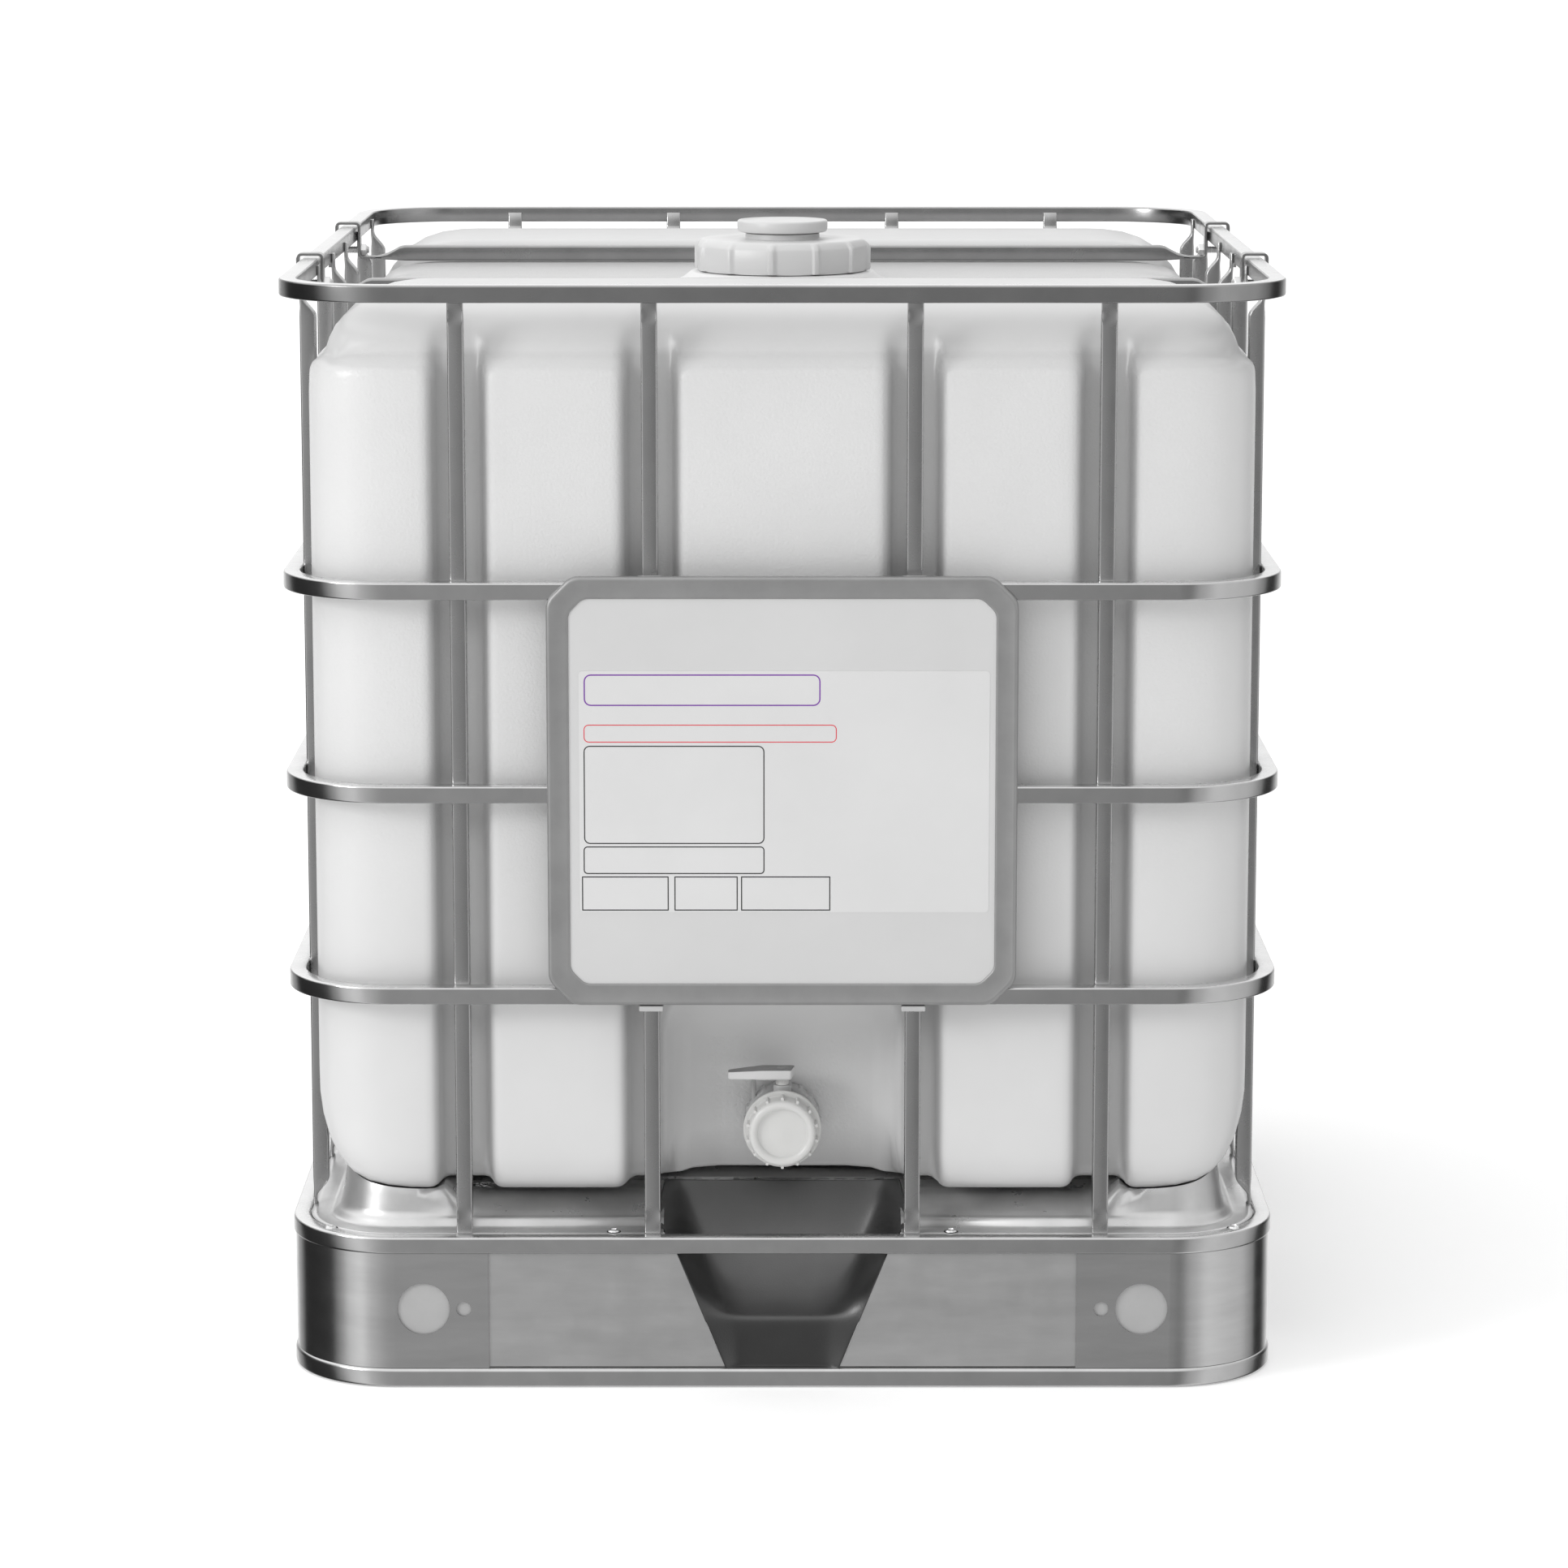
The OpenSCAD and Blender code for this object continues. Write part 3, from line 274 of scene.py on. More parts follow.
def moved(part, place):
    """A (points, faces) pair with place applied to each point."""
    return [place(p) for p in part[0]], part[1]


def turned(part):
    """A (points, faces) pair with its faces turned round."""
    return part[0], [face[::-1] for face in part[1]]


def mirrored(part, place):
    """Like moved, for a place that mirrors."""
    return turned(moved(part, place))


def skin(loops, closed=True):
    """Faces between loops of equally many points; closed loops get a face at each end."""
    n = len(loops[0])
    verts = [p for loop in loops for p in loop]
    faces = []
    for j in range(len(loops) - 1):
        for i in range(n if closed else n - 1):
            k = (i + 1) % n
            faces.append([j * n + i, j * n + k, (j + 1) * n + k, (j + 1) * n + i])
    if closed:
        faces.append(list(range(n))[::-1])
        last = (len(loops) - 1) * n
        faces.append([last + i for i in range(n)])
    return verts, faces


def lathe(profile, n=64, wave=None):
    """A body of revolution about Z from (radius, z) points; wave(angle, k) is added to the radius."""
    loops = []
    for k, (r, z) in enumerate(profile):
        loop = []
        for i in range(n):
            a = 2 * pi * i / n
            q = r + (wave(a, k) if wave and r > 0 else 0)
            loop.append((q * cos(a), q * sin(a), z))
        loops.append(loop)
    return skin(loops)


def ring_lathe(profile, n=64, wave=None):
    """Like lathe, for a closed profile: the wall between its last and first points is added."""
    verts, faces = lathe(profile + profile[:1], n, wave)
    return verts, faces[:-2]


def ring_skin(loops):
    """Like skin, with the last loop joined to the first and no end faces."""
    verts, faces = skin(loops + loops[:1])
    return verts, faces[:-2]


def offset(points, r, z):
    """Profile points given from a radius and a height."""
    return [(r + a, z + b) for a, b in points]


def rounded_profile(points, r, steps=4):
    """An open chain of (a, b) points with each inner corner rounded by r."""
    out = [points[0]]
    for p, q, s in zip(points, points[1:], points[2:]):
        u = (p[0] - q[0], p[1] - q[1])
        v = (s[0] - q[0], s[1] - q[1])
        lu, lv = hypot(*u), hypot(*v)
        cut = min(r, lu * 0.45, lv * 0.45)
        a = (q[0] + u[0] / lu * cut, q[1] + u[1] / lu * cut)
        b = (q[0] + v[0] / lv * cut, q[1] + v[1] / lv * cut)
        for i in range(steps + 1):
            t = i / steps
            out.append(tuple(a[k] * (1 - t) ** 2 + 2 * q[k] * t * (1 - t) + b[k] * t * t for k in (0, 1)))
    out.append(points[-1])
    return out


def closed_rounded(points, r, steps=4):
    """A closed outline with every corner rounded."""
    return rounded_profile([points[-1], *points, points[0]], r, steps)[1:-1]


def rounded_rect(w, h, r, steps=4, cx=0.0, cy=0.0):
    """A closed rounded rectangle, anticlockwise."""
    out = []
    for sx, sy, start in ((1, 1, 0), (-1, 1, 90), (-1, -1, 180), (1, -1, 270)):
        for i in range(steps + 1):
            a = radians(start + 90 * i / steps)
            out.append((cx + sx * (w / 2 - r) + r * cos(a), cy + sy * (h / 2 - r) + r * sin(a)))
    return out


def prism(outline, z0, z1):
    """An upright prism from an anticlockwise outline."""
    return skin([[(x, y, z0) for x, y in outline], [(x, y, z1) for x, y in outline]])


def block(lo, hi):
    """A box from its corners."""
    return prism([(lo[0], lo[1]), (hi[0], lo[1]), (hi[0], hi[1]), (lo[0], hi[1])], lo[2], hi[2])


def along_y(p):
    """Stands a shape made about Z on the outlet's axis, its top towards the front."""
    return (p[0], -p[2], OUTLET_Z + p[1])


def cage_ring(section):
    """A ring round the cage from a closed section of (inset, z) points."""
    loops = []
    for inset, z in section:
        plan = rounded_rect(2 * (CAGE_X - inset), 2 * (CAGE_Y - inset), CORNER - inset, 20)
        loops.append([(x, y, z) for x, y in plan])
    return ring_skin(loops)


def tube_section(inset, side, z0, z1, r):
    """A rounded square as (inset, z) points, ordered so that a ring's faces look outwards."""
    return [(inset + side / 2 - x, z) for x, z in
            rounded_rect(side, z1 - z0, r, 3, 0, (z0 + z1) / 2)]


# ---------------------------------------------------------------- the bottle's shell
def smin(a, b, k):
    """The lower of two distances, blended over k."""
    h = np.maximum(k - np.abs(a - b), 0) / k
    return np.minimum(a, b) - h * h * k / 4


def smax(a, b, k):
    """The higher of two distances, blended over k."""
    return -smin(-a, -b, k)


def rect2(a, b, ha, hb, r):
    """Distance to a rounded rectangle with half sides ha and hb."""
    qa, qb = np.abs(a) - ha + r, np.abs(b) - hb + r
    return np.minimum(np.maximum(qa, qb), 0) + np.hypot(np.maximum(qa, 0), np.maximum(qb, 0)) - r


GROOVE = 22         # depth of the grooves behind the uprights
GROOVE_HALF = 25    # half their width
PANEL_TOP = 1034    # where the panels between them end
SHOULDER = 11       # how far the shoulder above the panels is drawn in
SHOULDER_Z, GROOVE_TOP = 1016, 1066
# Corner radii: under the sides, under the ends, along the top and in plan
SIDE_R, FRONT_R, TOP_R, PLAN_R = 115, 62, 100, 100
# The pocket round the outlet: half its width, its back, its roof and the roof's slope
POCKET_X, POCKET_Y, POCKET_Z = 118, 495, OUTLET_Z + 115
ROOF_SLOPE = 0.49
# The channel in the floor in front of the outlet: half its width, its height and its end
CHANNEL_X, CHANNEL_H, CHANNEL_Y = 101, 17, 300
TROUGH_HALF = TIE_Y + 23


def rounded_block(x, y, z, inset, z0):
    """Distance to the bottle's block with its sides drawn in by inset and its floor at z0."""
    mid, half = (z0 + CREST_Z) / 2, (CREST_Z - z0) / 2
    low = z < mid
    side = rect2(x, z - mid, BOTTLE_X - inset, half, np.where(low, SIDE_R, TOP_R))
    end = rect2(y, z - mid, BOTTLE_Y - inset, half, np.where(low, FRONT_R, TOP_R))
    plan = rect2(x, y, BOTTLE_X - inset, BOTTLE_Y - inset, PLAN_R)
    return smax(smax(side, end, 30), plan, 30)


def from_posts(v, posts):
    """Distance from the nearest groove's edge, positive on the panels."""
    return np.min([np.abs(v - p) for p in posts], axis=0) - GROOVE_HALF


def bottle_distance(x, y, z):
    """Distance to the bottle's outer surface, for arrays of points."""
    recess = rounded_block(x, y, z, GROOVE, BOTTLE_Z0 + 7)
    panels = rounded_block(x, y, z, 0, BOTTLE_Z0)
    panels = smax(panels, -from_posts(x, END_POSTS), 15)
    panels = smax(panels, -from_posts(y, SIDE_POSTS), 15)
    panels = smax(panels, z - PANEL_TOP, 16)
    shape = smin(recess, panels, 9)
    grooves = smax(np.minimum(from_posts(x, END_POSTS), from_posts(y, SIDE_POSTS)), z - GROOVE_TOP, 40)
    shoulder = smax(rounded_block(x, y, z, SHOULDER, BOTTLE_Z0), SHOULDER_Z - z, 16)
    shape = smin(shape, smax(shoulder, -grooves, 15), 8)
    trough = smax(np.abs(y) - TROUGH_HALF, TROUGH_Z - z, 16)
    shape = smax(shape, -trough, 22)
    roof = (z - POCKET_Z + (y + POCKET_Y) * ROOF_SLOPE) / hypot(1, ROOF_SLOPE)
    pocket = smax(smax(np.abs(x) - POCKET_X, y + POCKET_Y, 42), roof, 36)
    shape = smax(shape, -pocket, 14)
    channel = smax(np.abs(x) - CHANNEL_X, z - BOTTLE_Z0 - CHANNEL_H, 30)
    return smax(shape, -smax(channel, y + CHANNEL_Y, 10), 14)


COARSE = 26      # the bottle's grid away from its features
CLOSEST = 2.2    # and the least space between two of its lines


def lines(lo, hi, features):
    """Sorted grid lines from lo to hi, finer round each (place, half width, step)."""
    out = set(np.round(np.linspace(lo, hi, ceil((hi - lo) / COARSE) + 1), 2))
    for place, half, step in features:
        count = ceil(half / step)
        for i in range(-count, count + 1):
            v = round(place + i * half / count, 2)
            if lo < v < hi:
                out.add(v)
    kept = [lo]
    for v in sorted(out):
        if v - kept[-1] > CLOSEST and hi - v > CLOSEST:
            kept.append(v)
    return np.array(kept + [hi])


def bottle_shell():
    """A grid on the block's six faces, pulled in along rays to the bottle's surface."""
    def grooves(posts):
        return [(p + s * GROOVE_HALF, 14, 3.6) for p in posts for s in SIDES]

    xs = lines(-BOTTLE_X, BOTTLE_X, grooves(END_POSTS) + [(s * POCKET_X, 20, 3.5) for s in SIDES])
    ys = lines(-BOTTLE_Y, BOTTLE_Y, grooves(SIDE_POSTS) + [(s * TROUGH_HALF, 18, 3.6) for s in SIDES])
    zs = lines(BOTTLE_Z0, CREST_Z, [(PANEL_TOP + 4, 20, 4), (POCKET_Z + 14, 34, 4), (BOTTLE_Z0 + 22, 20, 5)])
    index, points, faces = {}, [], []

    def corner(i, j, k):
        if (i, j, k) not in index:
            index[i, j, k] = len(points)
            points.append((xs[i], ys[j], zs[k]))
        return index[i, j, k]

    def side(cols, rows, near, far, place):
        """Two opposite faces of the block; place turns (column, row, depth) into grid indices."""
        around = ((0, 0), (1, 0), (1, 1), (0, 1))
        for i in range(cols):
            for j in range(rows):
                faces.append([corner(*place(i + a, j + b, near)) for a, b in around])
                faces.append([corner(*place(i + b, j + a, far)) for a, b in around])

    nx, ny, nz = len(xs) - 1, len(ys) - 1, len(zs) - 1
    side(nx, ny, nz, 0, lambda i, j, k: (i, j, k))
    side(nx, nz, 0, ny, lambda i, k, j: (i, j, k))
    side(ny, nz, nx, 0, lambda j, k, i: (i, j, k))
    p = np.array(points)
    reach = 100    # rays start this far inside the block
    half = np.array([BOTTLE_X - reach, BOTTLE_Y - reach])
    base = np.empty_like(p)
    base[:, :2] = np.clip(p[:, :2], -half, half)
    base[:, 2] = np.clip(p[:, 2], BOTTLE_Z0 + reach, CREST_Z - reach)
    ray = p - base
    ray /= np.linalg.norm(ray, axis=1)[:, None]
    t = np.full(len(p), reach * 1.05)
    for _ in range(60):
        q = base + ray * t[:, None]
        t = np.maximum(t - np.clip(bottle_distance(*q.T) * 0.75, -4, 30), 2)
    q = base + ray * t[:, None]
    return q, faces


def grain_mask(q):
    """How strongly the leathery grain shows: in the upper half, the trough and the pocket."""
    x, y, z = q.T
    in_x, in_y = BOTTLE_X - np.abs(x), BOTTLE_Y - np.abs(y)
    upper = np.clip((z - 430) / 160, 0, 1)
    shoulder = 1 - 0.75 * np.clip((z - PANEL_TOP + 10) / 40, 0, 1)
    trough = (np.abs(y) < TROUGH_HALF - 4) & (z > TROUGH_Z - 20)
    pocket = (y < -440) & (z < POCKET_Z - 22) & (z > BOTTLE_Z0 + 45) & (y > -POCKET_Y - 14)
    patch = pocket & (np.abs(np.abs(x) - 60) < 29)
    flat = np.maximum(np.where(in_y < 30, np.clip(in_x / 90, 0, 1), 0),
                      np.where(in_x < 30, np.clip(in_y / 90, 0, 1), 0))
    mask = upper * shoulder * np.clip(flat + 0.1, 0, 1)
    mask = np.where(trough, 1.0, mask)
    return np.where(patch, 2.2, np.where(pocket, 0.12, mask))


def paint(obj, name, values):
    """A value for each of a mesh's points: its painted shade and sheen as a colour, its grain as a number."""
    if name == "painted_light":
        colours = obj.data.attributes.new(name, "FLOAT_COLOR", "POINT")
        colours.data.foreach_set("color", np.repeat(values, 4).astype(np.float32))
    else:
        numbers = obj.data.attributes.new(name, "FLOAT", "POINT")
        numbers.data.foreach_set("value", np.asarray(values, np.float32))


shell_points, shell_faces = bottle_shell()
shell = piece("bottle_shell", [tuple(v) for v in shell_points], shell_faces, bottle_plastic,
              "container", "bottle_plastic", ("bottle",), angle=180)
paint(shell, "grain", grain_mask(shell_points))
# Painted shade: the colour is darkened at the bottom of the grooves, and less so on top
depth = -rounded_block(*shell_points.T, 0, BOTTLE_Z0)
groove_shade = np.where(shell_points[:, 2] > TROUGH_Z - 30, 0.12, 0.3)
paint(shell, "painted_light", 1 - groove_shade * np.exp(-((depth - GROOVE) / 9) ** 2))

NECK_R, NECK_BORE = 82.5, 75
neck = ring_lathe(rounded_profile(
    [(NECK_BORE, TROUGH_Z - 8), (118, TROUGH_Z - 3), (108, TROUGH_Z + 1.5), (101, TROUGH_Z + 7),
     (99, TROUGH_Z + 8.5), (NECK_R, TROUGH_Z + 8.5), (NECK_R, NECK_Z - 1), (NECK_BORE + 2, NECK_Z),
     (NECK_BORE, NECK_Z - 2), (NECK_BORE, TROUGH_Z)], 2.2), 96)
piece("bottle_neck", *neck, neck_plastic, "container", "bottle_plastic")
spigot = ring_lathe([(25, 485), (36, 488), (31, 494), (30, 513), (25, 513)], 48)
piece("bottle_spigot", *moved(spigot, along_y), neck_plastic, "container", "bottle_plastic")

# ---------------------------------------------------------------- lid and vent plug
LID_FACETS = 12
LID_PHASE = radians(-7.7)    # where the first rib stands, from the front
LID_R = 93.5
LID_Z0, LID_Z1 = cad("lid")[0][2], cad("vent_seal")[0][2] - 6
VENT_R = 49
VENT_Z0, VENT_Z1 = LID_Z1 + 7, cad("vent_plug")[1][2]
RIB_FADE = (1, 1, 1, 1, 1, 1, 0.9, 0.6, 0.2, 0)    # how tall the ribs are at each profile point


def lid_wave(a, k):
    """Flat facets with a stepped rib where two facets meet."""
    if k < 2 or k >= len(RIB_FADE):
        return 0
    pitch = 2 * pi / LID_FACETS
    local = (a + pi / 2 - LID_PHASE + pitch / 2) % pitch - pitch / 2
    facet = LID_R * (cos(pitch / 2) / cos(pitch / 2 - abs(local)) - 1) * 0.55
    rise = 3.0 if -0.035 < local < 0.03 else 1.3 if 0.03 <= local < 0.062 else 0
    return facet * (1 if k < 9 else 0.5) + rise * RIB_FADE[k]


# From the skirt's foot up its side, over the shoulder, in to the vent's collar and back underneath
lid_profile = offset([(-9.5, 0.4), (-2.5, 0), (-0.9, 0.8), (0, 2.5), (0, 14)], LID_R, LID_Z0)
lid_profile += offset([(0, -8.5), (-0.8, -6.6), (-2.6, -3.6), (-4.6, -1.2), (-6.6, -0.2), (-9, 0)],
                      LID_R, LID_Z1)
lid_profile += offset([(62, 0), (60, -0.6), (42, -0.6), (40.4, 0.4), (40, 5.4), (39.4, 6), (27.4, 6), (27, 5),
                       (27, -5), (83, -5.5), (83.2, -9)], 0, LID_Z1)
piece("screw_lid", *ring_lathe(lid_profile, 360, lid_wave), cap_plastic, "lid", "cap_plastic", ("lid",),
      angle=40)
vent_profile = offset([(22.6, -18), (26, -18), (26.6, -17), (26.6, 0)], 0, VENT_Z0)
vent_profile += offset([(-3.6, 0), (-1.2, 0.9), (-0.3, 3), (0, 5)], VENT_R, VENT_Z0)
vent_profile += offset([(0, -2.2), (-0.5, -0.9), (-1.6, 0), (-4, 0), (-5.4, -0.9)], VENT_R, VENT_Z1)
vent_profile += [(30, VENT_Z1 - 0.7), (0.01, VENT_Z1 - 0.5)]
piece("vent_head", *lathe(vent_profile, 96), cap_plastic, "vent", "cap_plastic", ("vent_plug",), angle=40)

# ---------------------------------------------------------------- outlet valve
# Places along the outlet are distances in front of the middle, so -Y in the frame
flange_y = -cad("valve_body")[1][1]
body_y = -cad("valve_body")[0][1]
stem_y = -middle("valve_stem", 1)
union_lo, union_hi = cad("valve_union_nut")
UNION_Y0, UNION_Y1 = -union_hi[1], -union_lo[1]
UNION_R = union_hi[0]
BARREL_R, THREAD_R, BORE_R = 31, 29.7, 25
barrel_y = stem_y + 14
BOSS_TOP = OUTLET_Z + UNION_R + 2.5


def at_stem(p):
    """Puts a shape made about Z on the stem's axis."""
    return (p[0], p[1] - stem_y, p[2])



barrel = [(BORE_R, flange_y), (33.5, flange_y), (33.5, flange_y + 4), (BARREL_R, flange_y + 4)]
barrel += [(BARREL_R, stem_y - 9), (BARREL_R - 1.2, stem_y - 8), (BARREL_R - 1.2, barrel_y - 4),
           (BARREL_R + 1.6, barrel_y - 3), (BARREL_R + 1.6, barrel_y - 0.5), (THREAD_R - 1, barrel_y)]
for turn in range(4):
    y = barrel_y + 2 + turn * 4
    barrel += [(THREAD_R - 1, y), (THREAD_R, y + 1), (THREAD_R, y + 1.8), (THREAD_R - 1, y + 2.8)]
barrel += [(THREAD_R - 1, body_y - 0.8), (THREAD_R - 1.8, body_y), (BORE_R, body_y)]
boss = lathe(rounded_profile([(0.01, OUTLET_Z + 27), (12.5, OUTLET_Z + 27), (9, OUTLET_Z + 33),
                              (9, BOSS_TOP), (0.01, BOSS_TOP)], 1.2), 40)
barrel_parts = [moved(ring_lathe(barrel, 72), along_y), moved(boss, at_stem)]
piece("valve_barrel", *join(barrel_parts), shaded_valve_plastic, "container", "valve_plastic", ("valve_body",),
      angle=40)


def nut_wave(a, k):
    """Narrow ribs round the nut, on the points of its profile that lie on its side."""
    count, depth, share, fade = 18, 1.6, 0.3, 0.12
    if k < 4 or k > 14:
        return 0
    pitch = 2 * pi / count
    local = abs((a + pitch / 2) % pitch - pitch / 2) / (pitch / 2)
    return depth * min(1, max(0, 1 - (local - share) / fade))


nut_profile = rounded_profile(
    [(34, UNION_Y0), (UNION_R - 3, UNION_Y0), (UNION_R - 3, UNION_Y0 + 7), (UNION_R - 1.6, UNION_Y0 + 8.5),
     (UNION_R - 1.6, UNION_Y1 - 2), (UNION_R - 3.4, UNION_Y1), (BARREL_R + 0.4, UNION_Y1),
     (BARREL_R + 0.4, UNION_Y1 - 3), (34, UNION_Y1 - 4), (34, UNION_Y0)], 0.9, 2)
LUG_W, LUG_X = 4.5, -29
lug = prism(rounded_rect(LUG_W, 6, 1.2, 3, LUG_X, -UNION_Y1 + 3), OUTLET_Z + 24, OUTLET_Z + 42.5)
piece("union_nut", *join([moved(ring_lathe(nut_profile, 216, nut_wave), along_y), lug]), shaded_valve_plastic,
      "container", "valve_plastic", ("valve_union_nut",), angle=38)

cap_lo, cap_hi = cad("outlet_cap")
CAP_Y0, CAP_Y1 = -cap_hi[1], -cap_lo[1]
CAP_R, CAP_FLANGE_R = 34, cap_hi[0]
CAP_RIBS = 14
# From the flange's inner edge over the flange and the rolled rim to the sunken face, and back inside
cap_profile = [(30.2, CAP_Y0), *offset([(-1, 0), (0, 1), (0, 4), (-0.8, 4.9)], CAP_FLANGE_R, CAP_Y0)]
cap_profile += offset([(1.4, 5.2), (0.3, 6.4)], CAP_R, CAP_Y0)
cap_profile += offset([(0, -6), (-0.5, -3), (-1.8, -1), (-3.9, 0), (-6.4, -0.5), (-8.6, -2.2), (-9.6, -4.6),
                       (-11, -5.2)], CAP_R, CAP_Y1)
cap_profile += offset([(12, -4.8), (0.01, -4.4), (0.01, -7), (30, -8)], 0, CAP_Y1)
cap_parts = [ring_lathe(cap_profile, 168)]
cap_rib = prism(rounded_rect(4.6, 2.8, 0.8, 3, CAP_R + 0.4, 0), CAP_Y0 + 4, CAP_Y1 - 4.2)
for i in range(CAP_RIBS):
    c, d = cos(2 * pi * (i + 0.5) / CAP_RIBS), sin(2 * pi * (i + 0.5) / CAP_RIBS)
    cap_parts.append(moved(cap_rib, lambda p, c=c, d=d: (p[0] * c - p[1] * d, p[0] * d + p[1] * c, p[2])))
piece("outlet_screw_cap", *moved(join(cap_parts), along_y), valve_plastic, "cap", "valve_plastic",
      ("outlet_cap",), angle=38)

lever_lo, lever_hi = cad("valve_lever")
LEVER_Z0, LEVER_Z1 = lever_lo[2], lever_hi[2]
hub, tip, half_w = lever_hi[0], lever_lo[0], (lever_hi[1] - lever_lo[1]) / 2
LEVER_WAIST = -20    # from here to the tip the lever tapers and its upper face falls


def lever_loop(inset, z_share):
    """The lever's outline at a share of its height."""
    outline = [(hub - 4 - inset, -half_w + inset), (hub - inset, half_w - inset),
               (LEVER_WAIST, half_w - inset), (tip + inset, half_w * 0.3 - inset / 2),
               (tip + inset, -half_w * 0.7 + inset / 2), (LEVER_WAIST, -half_w + inset)]
    out = []
    for x, y in closed_rounded(outline, 2.2, 4):
        share = min(1, max(0, (LEVER_WAIST - x) / (LEVER_WAIST - tip)))
        high = LEVER_Z1 - 2.6 * share
        out.append((x, y - stem_y, LEVER_Z0 + (high - LEVER_Z0) * z_share))
    return out


lever_loops = [lever_loop(1.0, 0), lever_loop(0.2, 0.08), lever_loop(0, 0.2), lever_loop(0, 0.86),
               lever_loop(0.3, 0.95), lever_loop(1.2, 1)]
lever = piece("lever_handle", *skin(lever_loops), lever_plastic, "lever", "lever_plastic",
              ("valve_lever",), angle=40)
recolour_tops(lever, lever_top, 0.8)
screw_z = cad("lever_screw")[0][2]
screw = lathe([(0.01, screw_z - 1), (5.5, screw_z - 1), (5.5, screw_z + 0.4), (4.6, screw_z + 1),
               (3, screw_z + 1.1), (2.4, screw_z + 0.4), (0.01, screw_z + 0.3)], 24)
piece("lever_bolt", *moved(screw, at_stem), inner_steel, "lever", "zinc_bolt", ("lever_screw",))
stem_z = cad("valve_stem")[0][2]
stem = lathe([(0.01, stem_z), (2, stem_z), (2, OUTLET_Z + 24.6), (4, OUTLET_Z + 25), (4, BOSS_TOP + 0.3),
              (6.4, BOSS_TOP + 0.3), (6.4, LEVER_Z0 - 1), (6, LEVER_Z0 - 0.2), (4, LEVER_Z0),
              (4, screw_z - 0.5), (0.01, screw_z - 0.5)], 32)
piece("stem_shaft", *moved(stem, at_stem), valve_plastic, "lever", "valve_plastic", ("valve_stem",), angle=38)

# ---------------------------------------------------------------- rails
def tube_piece(name, part, node, material=tube_steel, bevel=0.0):
    return piece(name, *part, material, "container", "galvanised_tube", (node,), bevel=bevel, angle=50)


for rail, edge in (("top", 2), ("upper", 2), ("middle", 2), ("lower", 2), ("foot", 2.6)):
    z0, z1 = (corner[2] for corner in cad(f"{rail}_rail"))
    parts = [cage_ring(tube_section(0, TUBE, z1 - TUBE, z1, edge))]
    if rail == "top":
        # A stub hangs from the middle of each long side
        for sx in SIDES:
            stub = rounded_rect(3, 14, 1.2, 3, sx * (RAIL_IN_X + TUBE / 2), 0)
            parts.append(prism(stub, z0, z1 - TUBE + 1))
    finish = shaded_top_steel if rail == "top" else tube_steel
    ring = tube_piece(f"{rail}_ring", join(parts), f"{rail}_rail", finish)
    # The ring's upward faces get the painted highlight
    recolour_tops(ring, painted_highlight_steel)
tube_piece("bottom_ring", cage_ring(tube_section(0, TUBE, 0, RUNNER_Z, 3.6)), "pallet_runner")

# ---------------------------------------------------------------- uprights
FLAT = 3             # thickness where an upright is pressed flat
TAB, BEND = 14, 22   # length of its flat ends and of the bends next to them
SCOOP = 1.5          # depth of the dent in a bend


def upright_shape():
    """An upright with its outer face on y = 0, growing towards +y, centred on x = 0."""
    stations = []

    def station(z, depth, dent=0.0, edge=1.8):
        loop = [(x, y + depth / 2) for x, y in rounded_rect(POST, depth, min(edge, depth * 0.4), 3)]
        scoop = [dent * (1 - (abs(x) / (POST / 2)) ** 4) for x, _ in loop]
        stations.append([(x, max(y, low) if dent else y, z) for (x, y), low in zip(loop, scoop)])

    steps = 10
    station(POST_Z0, FLAT - 0.6, edge=1)
    station(POST_Z0 + 0.6, FLAT)
    for start, way in ((POST_Z0 + TAB, 1), (POST_Z1 - TAB - BEND, -1)):
        for i in range(steps + 1):
            t = i / steps
            depth = FLAT + (POST - FLAT) * (1 - way * cos(pi * t)) / 2
            station(start + BEND * t, depth, SCOOP * sin(pi * t) ** 2)
    station(POST_Z1 - 0.6, FLAT)
    station(POST_Z1, FLAT - 0.6, edge=1)
    return skin(stations)


upright = upright_shape()
for wall, posts, turn, place in (
        ("front", END_POSTS, moved, lambda p, v: (p[0] + v, p[1] - RAIL_IN_Y, p[2])),
        ("rear", END_POSTS, mirrored, lambda p, v: (p[0] + v, RAIL_IN_Y - p[1], p[2])),
        ("left", SIDE_POSTS, mirrored, lambda p, v: (p[1] - RAIL_IN_X, p[0] + v, p[2])),
        ("right", SIDE_POSTS, moved, lambda p, v: (RAIL_IN_X - p[1], p[0] + v, p[2]))):
    for i, v in enumerate(posts, 1):
        post = turn(upright, lambda p, v=v, place=place: place(p, v))
        tube_piece(f"{wall}_post_{i}", post, f"{wall}_upright_{i}", post_steel)

# ---------------------------------------------------------------- tie bars
tie_lo, tie_hi = cad("rear_tie_bar")
HOOK_OUT = tie_hi[0]
GAP = HOOK_OUT - FLAT - CAGE_X         # between the hook and the rail
HOOK_IN = RAIL_IN_X - GAP - FLAT
TIE_TUBE = 17
TIE_Z0, TIE_Z1 = tie_lo[2], tie_lo[2] + TIE_TUBE
STRIP_W, STRIP_Z = 18, TIE_Z0 + 2      # the flat strip that makes the hook
TIE_END = HOOK_IN - 16
BOLT_R, BOLT_Z = 4, TOP_Z - TUBE - 8.5


